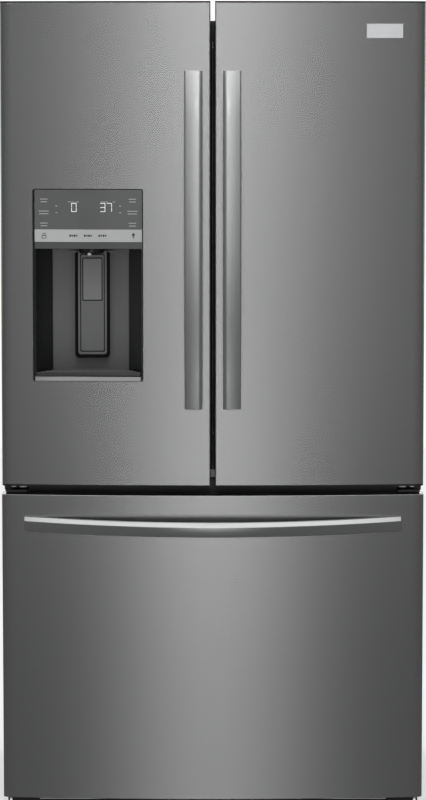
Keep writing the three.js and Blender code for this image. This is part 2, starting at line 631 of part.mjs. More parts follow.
function dispenserHousing() {
  const zs = [DISPENSER.bottom + GAP, DISPENSER.top - GAP];
  const block = frontStrip(DISPENSER.left + GAP, DISPENSER.right - GAP, 0.4, null, zs);
  const recess = prismZ(recessPlan(0), [RECESS.bottom, RECESS.top]);
  const bed = frontStrip(
    PANEL_BED.left - GAP,
    PANEL_BED.right + GAP,
    -20,
    PANEL_BED.depth + GAP,
    [PANEL_BED.bottom - GAP, PANEL_BED.top + GAP],
  );
  const spoutHeight = RECESS.top - SPOUT.bottom + 0.1;
  const spout = cut(
    rod('Z', [PADDLE.x, SPOUT.y, SPOUT.bottom], spoutHeight, SPOUT.radius, 20),
    rod('Z', [PADDLE.x, SPOUT.y, SPOUT.bottom - 1], spoutHeight + 1, SPOUT.bore, 20),
  );
  const ears = [-1, 1].map((side) => {
    const from = PADDLE.x + side * 44.5 - 4.5;
    const ear = box([from, from + 9], [-322, -306], [PADDLE_PIVOT.z - 6, RECESS.top + 1]);
    return cut(ear, rod('X', [from - 1, PADDLE_PIVOT.y, PADDLE_PIVOT.z], 11, PADDLE.pin + 0.4, 16));
  });
  return join(cut(block, recess, bed), spout, ...ears);
}

function dispenserPanel() {
  const zs = [PANEL_BED.bottom, PANEL_BED.top];
  return frontStrip(PANEL_BED.left, PANEL_BED.right, -0.2, PANEL_BED.depth, zs);
}

function dispenserPaddle() {
  const xs = [PADDLE.x - PADDLE.halfWidth, PADDLE.x + PADDLE.halfWidth];
  const plate = box(xs, [PADDLE.front, PADDLE.back], [PADDLE.bottom, PADDLE.top]);
  const { y, z, reach } = PADDLE_PIVOT;
  return join(plate, rod('X', [PADDLE.x - reach, y, z], 2 * reach, PADDLE.pin, 16));
}

function dripTray() {
  const keep = box([-400, -130], [-377, -300], [RECESS.bottom, RECESS.bottom + 13]);
  const body = prismZ(recessPlan(-0.6), [RECESS.bottom + GAP, RECESS.bottom + 13]).intersect(keep);
  const well = box([-330, -200], [-366, -306], [RECESS.bottom + 4, RECESS.bottom + 20]);
  const barZs = [RECESS.bottom + 8, RECESS.bottom + 13];
  const bars = [-352, -337, -322].map((y) => box([-331, -199], [y, y + 4], barZs));
  return join(cut(body, well), ...bars);
}

function buildDispenser() {
  const body = assembly(-HINGE.x, HINGE.y, 0);
  add(body, 'dispenser_housing', dispenserHousing(), FINISH.greyPlastic);
  add(body, 'dispenser_panel', dispenserPanel(), FINISH.glass);
  const swing = assembly(PADDLE.x, PADDLE_PIVOT.y, PADDLE_PIVOT.z);
  add(swing, 'dispenser_paddle', dispenserPaddle(), FINISH.blackPlastic);
  add(assembly(PADDLE.x, -340, RECESS.bottom), 'drip_tray', dripTray(), FINISH.greyPlastic);
}

function mullion() {
  const bar = box([MULLION.near, MULLION.far], [MULLION.front, MULLION.back], [MULLION.bottom, MULLION.top]);
  const pinBottom = MULLION.bottom - 6;
  const pinLength = MULLION.top - MULLION.bottom + 12;
  return join(bar, rod('Z', [MULLION.x, MULLION.y, pinBottom], pinLength, MULLION.pin, 16));
}

function buildDoor(word, side, innerPanel) {
  const door = assembly(side * HINGE.x, HINGE.y, 0);
  const holes = side < 0
    ? [box([DISPENSER.left, DISPENSER.right], [-420, -310], [DISPENSER.bottom, DISPENSER.top])]
    : [];
  add(door, `${word}_door_skin`, cut(doorSkin(side), ...holes), FINISH.blackSteel);
  add(door, `${word}_door_inner_panel`, innerPanel, FINISH.liner);
  add(door, `${word}_door_top_cap`, doorTopCap(side), FINISH.blackPlastic);
  add(door, `${word}_door_bottom_cap`, doorBottomCap(side), FINISH.blackPlastic);
  add(door, `${word}_door_gasket`, doorGasket(side), FINISH.rubber);
  add(door, `${word}_door_handle`, doorHandle(side), FINISH.handleSteel);
  add(door, `${word}_door_bin`, bin(side, [DOOR_BIN.bottom, DOOR_BIN.top], DOOR_BIN.back), FINISH.clearPlastic);
  return door;
}

function buildDoors() {
  buildDoor('left', -1, leftInnerPanel());
  const right = buildDoor('right', 1, doorInnerPanel(1));
  add(right, 'nameplate', nameplate(), FINISH.badge);
  add(right, 'dairy_box', dairyBox(), FINISH.clearPlastic);
  add(assembly(224, DAIRY.pivotY, DAIRY.pivotZ), 'dairy_lid', dairyLid(), FINISH.clearPlastic);
  add(assembly(MULLION.x, MULLION.y, 0), 'mullion', mullion(), FINISH.greyPlastic);
}

// ---- fresh food drawers ----
function buildCrispers() {
  for (const [word, side] of SIDES) {
    const { inner, outer, front, back, bottom, top } = CRISPER;
    const shape = tub(across(side, inner, outer), [front, back], [bottom, top]);
    const middle = [(side * (inner + outer)) / 2, (front + back) / 2, bottom];
    add(assembly(...middle), `crisper_${word}`, shape, FINISH.clearPlastic);
  }
}

// ---- freezer drawer ----
function drawerPlan(inset, back) {
  const half = DRAWER.halfWidth - inset;
  const round = 12 - inset;
  const to = half - round;
  const cornerY = frontAt(to) + inset + round;
  const front = [];
  const steps = 18;
  for (let i = 1; i < steps; i += 1) {
    const x = -to + (2 * to * i) / steps;
    front.push([x, frontAt(x) + inset]);
  }
  return [
    [-half, back],
    ...arcPoints(-to, cornerY, round, Math.PI, 1.5 * Math.PI, 4),
    ...front,
    ...arcPoints(to, cornerY, round, 1.5 * Math.PI, 2 * Math.PI, 4),
    [half, back],
  ];
}

function drawerSkin() {
  const outer = prismZ(drawerPlan(0, PANEL.back), [DRAWER.bottom, DRAWER.top]);
  return cut(outer, prismZ(drawerPlan(SHEET, PANEL.back + 10), [DRAWER.bottom + SHEET, DRAWER.top - SHEET]));
}

function drawerInnerPanel() {
  const fill = prismZ(drawerPlan(SKIN_FILL, PANEL.back), [DRAWER.bottom + SKIN_FILL, DRAWER.top - SKIN_FILL]);
  const lip = { halfWidth: 384, back: -262, bottom: 125, top: 675, wall: 16 };
  const zs = [lip.bottom, lip.top];
  return join(fill, ring([-lip.halfWidth, lip.halfWidth], [PANEL.back - 1, lip.back], zs, lip.wall));
}

function drawerHandle() {
  const { halfLength, bottom, top, foot } = DRAWER_HANDLE;
  const footEnd = frontAt(halfLength) - 0.4;
  const footInner = frontAt(halfLength - foot) - 0.6;
  return prismZ(handleOutline(-halfLength, halfLength, DRAWER_HANDLE, footEnd, footInner), [bottom, top]);
}

const LOWER_BASKET = {
  halfWidth: 360, rimHalf: 383, rimBottom: RAIL.top + 2.4, front: -255, back: 150,
  bottom: 130, top: 463.5,
};
const UPPER_BASKET = {
  halfWidth: 372, rimHalf: 399, rimBottom: LEDGE_TOP + 0.4, front: -245, back: 230,
  bottom: 470, top: 599,
};
const DRAWER_GASKET = { halfWidth: 440, bottom: 92, top: 716 };
const FRAME = {
  halfWidth: 384, front: -261.6, back: 180, bottom: 430, insideHalf: 372,
  insideFront: -257.5, insideBack: 168,
};

function basket({ halfWidth, rimHalf, rimBottom, front, back, bottom, top }) {
  const outer = box([-halfWidth, halfWidth], [front, back], [bottom, top]);
  const rim = box([-rimHalf, rimHalf], [front, back], [rimBottom, top]);
  const inside = halfWidth - TUB;
  return cut(join(outer, rim), box([-inside, inside], [front + TUB, back - TUB], [bottom + TUB, top + PAST]));
}

function drawerFrame() {
  const { halfWidth, front, back, bottom, insideHalf, insideFront, insideBack } = FRAME;
  const outer = box([-halfWidth, halfWidth], [front, back], [bottom, RAIL.top + 2]);
  const hollow = box([-insideHalf, insideHalf], [insideFront, insideBack], [bottom - PAST, RAIL.top + PAST]);
  return cut(outer, hollow);
}

function buildFreezerDrawer() {
  const drawer = assembly(0, PANEL.back, DRAWER.bottom);
  add(drawer, 'drawer_skin', drawerSkin(), FINISH.blackSteel);
  add(drawer, 'drawer_inner_panel', drawerInnerPanel(), FINISH.liner);
  const { halfWidth, bottom, top } = DRAWER_GASKET;
  const gasket = ring([-halfWidth, halfWidth], [GASKET.front, GASKET.back], [bottom, top], GASKET.width);
  add(drawer, 'drawer_gasket', gasket, FINISH.rubber);
  add(drawer, 'drawer_handle', drawerHandle(), FINISH.handleSteel);
  add(drawer, 'drawer_frame', drawerFrame(), FINISH.zincSteel);
  add(drawer, 'lower_basket', basket(LOWER_BASKET), FINISH.liner);
  add(assembly(0, 0, LEDGE_TOP), 'upper_basket', basket(UPPER_BASKET), FINISH.liner);
  for (const [word, side] of SIDES) {
    const middle = box(across(side, ...RAIL.middle), [-200, 180], [RAIL.bottom + 2, RAIL.top - 2]);
    add(assembly(side * RAIL.middle[0], 0, RAIL.bottom), `slide_middle_${word}`, middle, FINISH.zincSteel);
  }
}

buildCabinet();
buildFeet();
buildDoors();
buildDispenser();
buildCrispers();
buildFreezerDrawer();

export default refrigerator;
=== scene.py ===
"""Looks for the french door refrigerator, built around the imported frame. Metres, +Z up, front towards -Y."""

import math

import bmesh
import bpy
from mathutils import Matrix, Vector


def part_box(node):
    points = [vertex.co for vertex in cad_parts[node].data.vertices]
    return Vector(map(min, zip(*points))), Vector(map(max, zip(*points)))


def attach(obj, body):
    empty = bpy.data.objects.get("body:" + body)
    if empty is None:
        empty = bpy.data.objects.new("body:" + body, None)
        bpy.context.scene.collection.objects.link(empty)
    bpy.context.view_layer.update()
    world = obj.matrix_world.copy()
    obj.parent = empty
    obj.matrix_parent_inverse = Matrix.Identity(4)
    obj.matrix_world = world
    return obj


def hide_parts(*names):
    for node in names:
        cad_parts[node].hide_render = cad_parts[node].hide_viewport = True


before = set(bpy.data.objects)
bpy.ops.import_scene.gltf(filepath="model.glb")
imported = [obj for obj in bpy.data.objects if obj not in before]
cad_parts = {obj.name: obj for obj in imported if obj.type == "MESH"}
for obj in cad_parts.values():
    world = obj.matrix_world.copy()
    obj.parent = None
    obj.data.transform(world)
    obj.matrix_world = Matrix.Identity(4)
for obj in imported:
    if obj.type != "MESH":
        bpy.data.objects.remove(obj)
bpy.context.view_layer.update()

# ---- sizes taken from the frame ----
SIDES = (("left", -1), ("right", 1))
SKIN = {side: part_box(f"{side}_door_skin") for side, _ in SIDES}
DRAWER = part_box("drawer_skin")
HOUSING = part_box("dispenser_housing")
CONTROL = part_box("dispenser_panel")
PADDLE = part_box("dispenser_paddle")
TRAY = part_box("drip_tray")
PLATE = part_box("nameplate")
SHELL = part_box("cabinet_shell")
FRONT = DRAWER[0].y
HALF = SKIN["right"][1].x
BULGE = 0.025
RADIUS = (HALF ** 2 + BULGE ** 2) / (2 * BULGE)
SHEET = 0.0015
LINER_WALL = 0.0025
LINER_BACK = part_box("fresh_food_liner")[1].y - LINER_WALL


def front_at(x):
    """Depth of the bowed front at a distance from the middle."""
    return FRONT + RADIUS - math.sqrt(RADIUS ** 2 - x ** 2)


# ---- materials ----
class Surface:
    """A principled material whose colour, roughness and bump come from procedural nodes."""

    def __init__(self, name, roughness, metallic=0.0, **shader_numbers):
        self.material = bpy.data.materials.new(name)
        self.material.use_nodes = True
        self.tree = self.material.node_tree
        self.shader = self.tree.nodes["Principled BSDF"]
        self.shader.inputs["Roughness"].default_value = roughness
        self.shader.inputs["Metallic"].default_value = metallic
        self.roughness = roughness
        for key, value in shader_numbers.items():
            self.shader.inputs[key.replace("_", " ")].default_value = value

    def node(self, kind, **inputs):
        node = self.tree.nodes.new(kind)
        for key, value in inputs.items():
            node.inputs[key].default_value = value
        return node

    def link(self, source, target):
        self.tree.links.new(source, target)

    def noise(self, scale, stretch=(1, 1, 1), detail=3.0, rough=0.55):
        """A noise value over the object's own coordinates, stretched along its axes."""
        place = self.node("ShaderNodeTexCoord")
        mapping = self.node("ShaderNodeMapping", Scale=stretch)
        noise = self.node("ShaderNodeTexNoise", Scale=scale, Detail=detail, Roughness=rough)
        self.link(place.outputs["Object"], mapping.inputs["Vector"])
        self.link(mapping.outputs["Vector"], noise.inputs["Vector"])
        return noise.outputs["Fac"]

    def ramp(self, value, low, high):
        """Maps a noise value onto a range of numbers."""
        remap = self.node("ShaderNodeMapRange")
        remap.interpolation_type = "SMOOTHSTEP"
        for key, number in (("From Min", 0.15), ("From Max", 0.85), ("To Min", low), ("To Max", high)):
            remap.inputs[key].default_value = number
        self.link(value, remap.inputs["Value"])
        return remap.outputs["Result"]

    def colour(self, value, dark, light):
        """Drives the base colour from a noise value, between two colours."""
        ramp = self.node("ShaderNodeValToRGB")
        ramp.color_ramp.interpolation = "EASE"
        ramp.color_ramp.elements[0].position = 0.2
        ramp.color_ramp.elements[0].color = (*dark, 1)
        ramp.color_ramp.elements[1].position = 0.8
        ramp.color_ramp.elements[1].color = (*light, 1)
        self.link(value, ramp.inputs["Fac"])
        self.link(ramp.outputs["Color"], self.shader.inputs["Base Color"])
        return ramp.outputs["Color"]

    def roughen(self, value, spread):
        """Lets the roughness drift either side of its own value."""
        target = self.ramp(value, self.roughness - spread, self.roughness + spread)
        self.link(target, self.shader.inputs["Roughness"])

    def bump(self, value, depth, strength):
        """Raises the surface by a noise value, to a depth in metres."""
        bump = self.node("ShaderNodeBump", Strength=strength, Distance=depth)
        self.link(value, bump.inputs["Height"])
        self.link(bump.outputs["Normal"], self.shader.inputs["Normal"])


def shade_of(colour, factor):
    return tuple(min(1.0, c * factor) for c in colour)


def brushed(name, colour, roughness, along, anisotropic=0.5, spread=0.03):
    """Brushed steel: fine grain drawn out along one axis."""
    surface = Surface(name, roughness, 1.0, Anisotropic=anisotropic)
    stretch = {"Z": (1, 1, 0.012), "X": (0.012, 1, 1)}[along]
    grain = surface.noise(300, stretch, 2.0, 0.6)
    surface.colour(grain, shade_of(colour, 1 - spread), shade_of(colour, 1 + spread))
    tangent = surface.node("ShaderNodeTangent")
    tangent.direction_type = "RADIAL"
    tangent.axis = along
    surface.link(tangent.outputs["Tangent"], surface.shader.inputs["Tangent"])
    return surface.material


def moulded(name, colour, roughness, texture=0.00004, scale=1400, spread=0.06, **numbers):
    """Moulded plastic: a fine spark-eroded texture with a little colour and gloss drift."""
    surface = Surface(name, roughness, 0.0, **numbers)
    grit = surface.noise(scale)
    drift = surface.noise(9)
    surface.colour(drift, shade_of(colour, 0.93), shade_of(colour, 1.07))
    surface.roughen(drift, spread)
    surface.bump(grit, texture, 0.5)
    return surface.material


def painted(name, colour, roughness, peel=0.00008):
    """Baked paint on steel: orange peel over a slow drift of gloss."""
    surface = Surface(name, roughness, 0.0, Coat_Weight=0.25, Coat_Roughness=0.3)
    peel_noise = surface.noise(420, detail=2.0)
    drift = surface.noise(5)
    surface.colour(drift, shade_of(colour, 0.92), shade_of(colour, 1.08))
    surface.roughen(drift, 0.06)
    surface.bump(peel_noise, peel, 0.6)
    return surface.material


def zinc(name, colour, roughness):
    """Zinc-plated sheet: crystalline patches of slightly different tone and gloss."""
    surface = Surface(name, roughness, 0.9)
    place = surface.node("ShaderNodeTexCoord")
    cells = surface.node("ShaderNodeTexVoronoi", Scale=55)
    surface.link(place.outputs["Object"], cells.inputs["Vector"])
    surface.colour(cells.outputs["Distance"], shade_of(colour, 0.85), shade_of(colour, 1.1))
    surface.roughen(surface.noise(30), 0.08)
    surface.bump(surface.noise(600), 0.00003, 0.4)
    return surface.material


def clear(name, colour, roughness, ior):
    """Clear plastic or glass with faint haze."""
    surface = Surface(name, roughness, 0.0, Transmission_Weight=0.92, IOR=ior)
    haze = surface.noise(40)
    surface.colour(haze, shade_of(colour, 0.96), shade_of(colour, 1.0))
    surface.roughen(haze, roughness * 0.5)
    return surface.material


def lit(name, colour, strength):
    """A display segment or icon that glows faintly through the panel."""
    surface = Surface(name, 0.4, 0.0, Emission_Strength=strength)
    glow = surface.noise(160, detail=2.0)
    output = surface.colour(glow, shade_of(colour, 0.9), colour)
    surface.link(output, surface.shader.inputs["Emission Color"])
    return surface.material


M = {
    "steel": brushed("black_stainless", (0.400, 0.402, 0.400), 0.27, "Z", 0.55, 0.008),
    "handle": brushed("handle_steel", (0.58, 0.585, 0.585), 0.37, "Z", 0.3),
    "handle_flat": brushed("drawer_handle_steel", (0.50, 0.505, 0.505), 0.33, "X", 0.3),
    "badge": moulded("badge_metal", (0.84, 0.85, 0.86), 0.35, 0.00001, 900, 0.03),
    "cabinet": painted("cabinet_paint", (0.022, 0.0225, 0.0235), 0.5),
    "black": moulded("black_plastic", (0.008, 0.008, 0.0085), 0.5),
    "gloss_black": moulded("gloss_black_plastic", (0.010, 0.0105, 0.011), 0.24, 0.00002, 900),
    "ink": moulded("matt_black_plastic", (0.004, 0.004, 0.0042), 0.6, 0.00002, 900, 0.03,
                   Specular_IOR_Level=0.15),
    "recess": moulded("recess_plastic", (0.160, 0.162, 0.162), 0.42, 0.00003, 1800),
    "grey": moulded("grey_plastic", (0.16, 0.163, 0.165), 0.42),
    "window": moulded("paddle_window", (0.235, 0.237, 0.238), 0.55, 0.00001, 900),
    "light_grey": moulded("light_grey_plastic", (0.55, 0.56, 0.56), 0.4),
    "liner": moulded("white_liner", (0.80, 0.81, 0.81), 0.38, 0.00002, 500, 0.05, Coat_Weight=0.2),
    "control": moulded("control_panel", (0.142, 0.144, 0.144), 0.25, 0.00001, 900, 0.03, Coat_Weight=0.3),
    "band": moulded("control_band", (0.095, 0.097, 0.097), 0.3, 0.00001, 900, 0.03),
    "sill": moulded("sill_plastic", (0.40, 0.405, 0.405), 0.35, 0.00002, 900, 0.04),
    "bar": moulded("control_bar", (0.57, 0.575, 0.575), 0.35, 0.00002, 900, 0.04),
    "gasket": moulded("gasket_rubber", (0.010, 0.010, 0.011), 0.62, 0.00006, 700),
    "zinc": zinc("zinc_steel", (0.56, 0.57, 0.57), 0.42),
    "compressor": painted("compressor_paint", (0.012, 0.012, 0.013), 0.3, 0.00012),
    "clear": clear("clear_plastic", (0.93, 0.97, 0.97), 0.06, 1.49),
    "glass": clear("shelf_glass", (0.86, 0.95, 0.92), 0.02, 1.5),
    "lit": lit("display_light", (0.82, 0.87, 0.86), 0.45),
    "print": moulded("label_print", (0.62, 0.63, 0.63), 0.5, 0.00001),
    "dark_print": moulded("dark_print", (0.05, 0.052, 0.054), 0.5, 0.00001),
}


# ---- mesh building ----
AXES = {
    "X": lambda a, b, c: (c, a, b),
    "Y": lambda a, b, c: (a, c, b),
    "Z": lambda a, b, c: (a, b, c),
}
SHARP_ANGLE = math.radians(32)


def add_loft(bm, loops):
    """Joins closed loops of points, all of one length, into a solid with flat ends."""
    rings = [[bm.verts.new(point) for point in loop] for loop in loops]
    count = len(rings[0])
    for low, high in zip(rings, rings[1:]):
        for i in range(count):
            j = (i + 1) % count
            bm.faces.new((low[i], low[j], high[j], high[i]))
    bm.faces.new(rings[0][::-1])
    bm.faces.new(rings[-1])


def add_prism(bm, outline, low, high, axis="Z"):
    """A closed outline drawn out along an axis; for X it lies in YZ, for Y in XZ, for Z in XY."""
    place = AXES[axis]
    add_loft(bm, [[place(a, b, c) for a, b in outline] for c in (low, high)])


def circle(centre, radius, sides=48):
    steps = [2 * math.pi * i / sides for i in range(sides)]
    return [(centre[0] + radius * math.cos(t), centre[1] + radius * math.sin(t)) for t in steps]


def arc(centre, radius, start, end, steps):
    """Points on an arc, with its angles in degrees."""
    angles = [math.radians(start + (end - start) * i / steps) for i in range(steps + 1)]
    return [(centre[0] + radius * math.cos(t), centre[1] + radius * math.sin(t)) for t in angles]


def rounded_rect(low, high, radius, steps=6):
    (x0, y0), (x1, y1) = low, high
    corners = (
        ((x1 - radius, y0 + radius), -90),
        ((x1 - radius, y1 - radius), 0),
        ((x0 + radius, y1 - radius), 90),
        ((x0 + radius, y0 + radius), 180),
    )
    return [point for centre, start in corners for point in arc(centre, radius, start, start + 90, steps)]


def shade(mesh):
    """Smooth shading that stays sharp where faces meet at more than the sharp angle."""
    bm = bmesh.new()
    bm.from_mesh(mesh)
    bmesh.ops.recalc_face_normals(bm, faces=bm.faces)
    for face in bm.faces:
        face.smooth = True
    for edge in bm.edges:
        if len(edge.link_faces) == 2 and edge.calc_face_angle(0) > SHARP_ANGLE:
            edge.smooth = False
    bm.to_mesh(mesh)
    bm.free()


def soften(obj, width, segments=2):
    """Rounds an object's sharp edges."""
    bevel = obj.modifiers.new("round_edges", "BEVEL")
    bevel.width = width
    bevel.segments = segments
    bevel.limit_method = "ANGLE"
    bevel.angle_limit = SHARP_ANGLE
    bevel.use_clamp_overlap = True
    bevel.miter_outer = "MITER_ARC"
    weighted = obj.modifiers.new("even_normals", "WEIGHTED_NORMAL")
    weighted.keep_sharp = True


def piece(name, bm, material, body, replaces=(), edge=0.0, segments=2):
    """Turns a bmesh into a finished piece that rides on a body."""
    bmesh.ops.recalc_face_normals(bm, faces=bm.faces)
    mesh = bpy.data.meshes.new(name)
    bm.to_mesh(mesh)
    bm.free()
    mesh.materials.append(M[material])
    shade(mesh)
    obj = bpy.data.objects.new(name, mesh)
    bpy.context.scene.collection.objects.link(obj)
    if edge:
        soften(obj, edge, segments)
    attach(obj, body)
    if replaces:
        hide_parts(*replaces)
    return obj


def repaint(obj, material, wanted):
    """Gives some faces another material; wanted(centre, normal) picks them."""
    obj.data.materials.append(M[material])
    for polygon in obj.data.polygons:
        if wanted(polygon.center, polygon.normal):
            polygon.material_index = len(obj.data.materials) - 1


def carved(bm, *cutters):
    """The bmesh with other closed bmeshes cut out of it."""
    def temporary(source):
        bmesh.ops.recalc_face_normals(source, faces=source.faces)
        mesh = bpy.data.meshes.new("temporary")
        source.to_mesh(mesh)
        source.free()
        obj = bpy.data.objects.new("temporary", mesh)
        bpy.context.scene.collection.objects.link(obj)
        return obj

    body = temporary(bm)
    tools = [temporary(cutter) for cutter in cutters]
    for tool in tools:
        modifier = body.modifiers.new("cut", "BOOLEAN")
        modifier.operation = "DIFFERENCE"
        modifier.solver = "EXACT"
        modifier.object = tool
    bpy.context.view_layer.update()
    evaluated = body.evaluated_get(bpy.context.evaluated_depsgraph_get())
    result = bmesh.new()
    result.from_mesh(evaluated.to_mesh())
    evaluated.to_mesh_clear()
    for obj in (body, *tools):
        mesh = obj.data
        bpy.data.objects.remove(obj)
        bpy.data.meshes.remove(mesh)
    bmesh.ops.dissolve_degenerate(result, dist=1e-6, edges=result.edges)
    return result


def prism_mesh(outline, low, high, axis="Z"):
    bm = bmesh.new()
    add_prism(bm, outline, low, high, axis)
    return bm


def box_mesh(low, high):
    outline = [(low[0], low[1]), (high[0], low[1]), (high[0], high[1]), (low[0], high[1])]
    return prism_mesh(outline, low[2], high[2])


# ---- CAD nodes that keep their own shape ----
WELD_DISTANCE = 0.00002


def finish_node(name, material, edge):
    """Gives a carried-over CAD node its material and rounded edges."""
    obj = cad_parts[name]
    obj.data.materials.clear()
    obj.data.materials.append(M[material])
    weld = obj.modifiers.new("weld", "WELD")
    weld.merge_threshold = WELD_DISTANCE
    soften(obj, edge)


CARRIED = {
    "cabinet_shell": ("cabinet", 0.0007),
    "back_panel": ("zinc", 0.0006),
    "cabinet_foam": ("liner", 0.0005),
    "fresh_food_liner": ("liner", 0.0012),
    "freezer_liner": ("liner", 0.0012),
    "base_pan": ("zinc", 0.0006),
    "toe_grille": ("black", 0.0012),
    "top_hinge_left": ("zinc", 0.0006),
    "top_hinge_right": ("zinc", 0.0006),
    "hinge_cover_left": ("black", 0.003),
    "hinge_cover_right": ("black", 0.003),
    "center_hinge_left": ("cabinet", 0.0006),
    "center_hinge_right": ("cabinet", 0.0006),
    "ice_maker_housing": ("liner", 0.0014),
    "compressor": ("compressor", 0.002),
    "fan_shroud": ("black", 0.001),
    "compressor_cover": ("zinc", 0.0006),
    "water_inlet_valve": ("light_grey", 0.0012),
    "power_inlet": ("black", 0.0012),
    "condenser_fan": ("grey", 0.0012),
    "levelling_leg_left": ("black", 0.0012),
    "levelling_leg_right": ("black", 0.0012),
    "rear_roller_left": ("grey", 0.0012),
    "rear_roller_right": ("grey", 0.0012),
    "left_door_inner_panel": ("liner", 0.003),
    "right_door_inner_panel": ("liner", 0.003),
    "drawer_inner_panel": ("liner", 0.003),
    "left_door_top_cap": ("black", 0.0008),
    "right_door_top_cap": ("black", 0.0008),
    "left_door_bottom_cap": ("black", 0.0008),
    "right_door_bottom_cap": ("black", 0.0008),
    "left_door_gasket": ("gasket", 0.003),
    "right_door_gasket": ("gasket", 0.003),
    "drawer_gasket": ("gasket", 0.003),
    "left_door_bin": ("clear", 0.001),
    "right_door_bin": ("clear", 0.001),
    "dairy_box": ("clear", 0.0008),
    "dairy_lid": ("clear", 0.0008),
    "crisper_left": ("clear", 0.001),
    "crisper_right": ("clear", 0.001),
    "glass_shelf_left": ("glass", 0.001),
    "glass_shelf_right": ("glass", 0.001),
    "crisper_cover": ("glass", 0.001),
    # the mullion's black is painted shade: it stands in for the shade deep in the slit between the doors
    "mullion": ("black", 0.002),
    "drawer_frame": ("zinc", 0.001),
    "slide_middle_left": ("zinc", 0.001),
    "slide_middle_right": ("zinc", 0.001),
    "lower_basket": ("liner", 0.001),
    "upper_basket": ("liner", 0.001),
}


def finish_carried_nodes():
    for name, (material, edge) in CARRIED.items():
        finish_node(name, material, edge)


# ---- door and drawer skins ----
def front_points(start, end, inset, step):
    """Points along the bowed front between two distances from the middle."""
    count = max(2, round(abs(end - start) / step))
    xs = [start + (end - start) * i / count for i in range(count + 1)]
    return [(x, front_at(x) + inset) for x in xs]


EASE_WIDTH = 0.022
EASE_DROP = 0.0012
EDGE_ROUND = 0.0013
INNER_CORNER = 0.0025
OUTER_CORNER = 0.010
SKIN_STEP = 0.004
SLOPE_STEP = 0.0005


def eased(x, edge):
    """How much further back the front lies near an outside edge, where the sheet starts to turn."""
    share = max(0.0, 1 - abs(edge - x) / EASE_WIDTH)
    return EASE_DROP * share ** 2


def bent_corner(edge, facing, radius, inset, turned, steps=8):
    """A rounded vertical corner from the side face to the front; turned means the front eases into it."""
    def depth(x):
        return front_at(x) + (eased(x, edge) if turned else 0.0)

    touch = edge - facing * radius * 0.65
    slope = 0.0
    if turned:
        slope = abs(depth(touch + SLOPE_STEP) - depth(touch - SLOPE_STEP)) / (2 * SLOPE_STEP)
    lean = math.degrees(math.atan(slope))
    touch = edge - facing * radius * (1 - math.sin(math.radians(lean)))
    centre = (edge - facing * radius, depth(touch) + radius * math.cos(math.radians(lean)))
    turn = radius - inset
    if facing < 0:
        return arc(centre, turn, 180, 270 - lean, steps), touch
    return arc(centre, turn, 0, -90 + lean, steps), touch


def skin_path(inner, outer, back, radii, inset):
    """One face of a panel's sheet in plan, from the back of its first side round to the other."""
    direction = 1 if outer > inner else -1
    turned = (radii[0] == radii[1], True)
    first, start = bent_corner(inner, -direction, radii[0], inset, turned[0])
    last, end = bent_corner(outer, direction, radii[1], inset, turned[1])
    middle = []
    for x, y in front_points(start, end, inset, SKIN_STEP)[1:-1]:
        drop = eased(x, outer) + (eased(x, inner) if turned[0] else 0.0)
        middle.append((x, y + drop))
    sides = [(inner + direction * inset, back), (outer - direction * inset, back)]
    return [sides[0], *first, *middle, *last[::-1], sides[1]]


def add_skin(bm, inner, outer, back, radii, low, high):
    """The bent sheet of a panel, with its top and bottom edges rolled over."""
    inside = skin_path(inner, outer, back, radii, SHEET)[::-1]
    rounding = []
    for k in range(5):
        angle = math.radians(22.5 * k)
        rounding.append((EDGE_ROUND * (1 - math.sin(angle)), EDGE_ROUND * (1 - math.cos(angle))))
    levels = [(inset, low + rise) for inset, rise in rounding]
    levels += [(inset, high - rise) for inset, rise in reversed(rounding)]
    loops = []
    for inset, z in levels:
        outline = skin_path(inner, outer, back, radii, inset) + inside
        loops.append([(x, y, z) for x, y in outline])
    add_loft(bm, loops)


DISPENSER_RADIUS = 0.005
OPENING_FIT = 0.0003


def door_skin(side_name, side):
    """A door's bent sheet, notched at its back top edge, with the dispenser's opening in the left one."""
    low, high = SKIN[side_name]
    inner = min(abs(low.x), abs(high.x)) * side
    outer = max(abs(low.x), abs(high.x)) * side
    skin = bmesh.new()
    add_skin(skin, inner, outer, high.y, (INNER_CORNER, OUTER_CORNER), low.z, high.z)
    rear_top = SHELL[1].z - 0.002
    step_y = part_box("top_hinge_left")[0].y - 0.007
    cutters = [box_mesh((-0.5, step_y, rear_top), (0.5, 0, high.z + 0.01))]
    if side < 0:
        opening = rounded_rect((HOUSING[0].x - OPENING_FIT, HOUSING[0].z - OPENING_FIT),
                               (HOUSING[1].x + OPENING_FIT, HOUSING[1].z + OPENING_FIT), DISPENSER_RADIUS)
        cutters.append(prism_mesh(opening, FRONT - 0.02, FRONT + 0.06, "Y"))
    skin = carved(skin, *cutters)
    piece(f"{side_name}_door_front", skin, "steel", f"{side_name}_door",
          [f"{side_name}_door_skin"], 0.0004)


def drawer_skin():
    """The bowed drawer front, with the flat returns that close its top and bottom."""
    low, high = DRAWER
    corners = (OUTER_CORNER, OUTER_CORNER)
    skin = bmesh.new()
    add_skin(skin, low.x, high.x, high.y, corners, low.z, high.z)
    lids = bmesh.new()
    outside = skin_path(low.x, high.x, high.y, corners, SHEET * 0.6)
    for z in (low.z + 0.0002, high.z - SHEET - 0.0002):
        add_prism(lids, outside, z, z + SHEET)
    piece("drawer_front", skin, "steel", "freezer_drawer", ["drawer_skin"], 0.0003)
    piece("drawer_front_returns", lids, "steel", "freezer_drawer", (), 0.0004)


FIN_GAP = 0.0006
FIN_ROOT = 0.0012
FIN_TIP = 0.0004


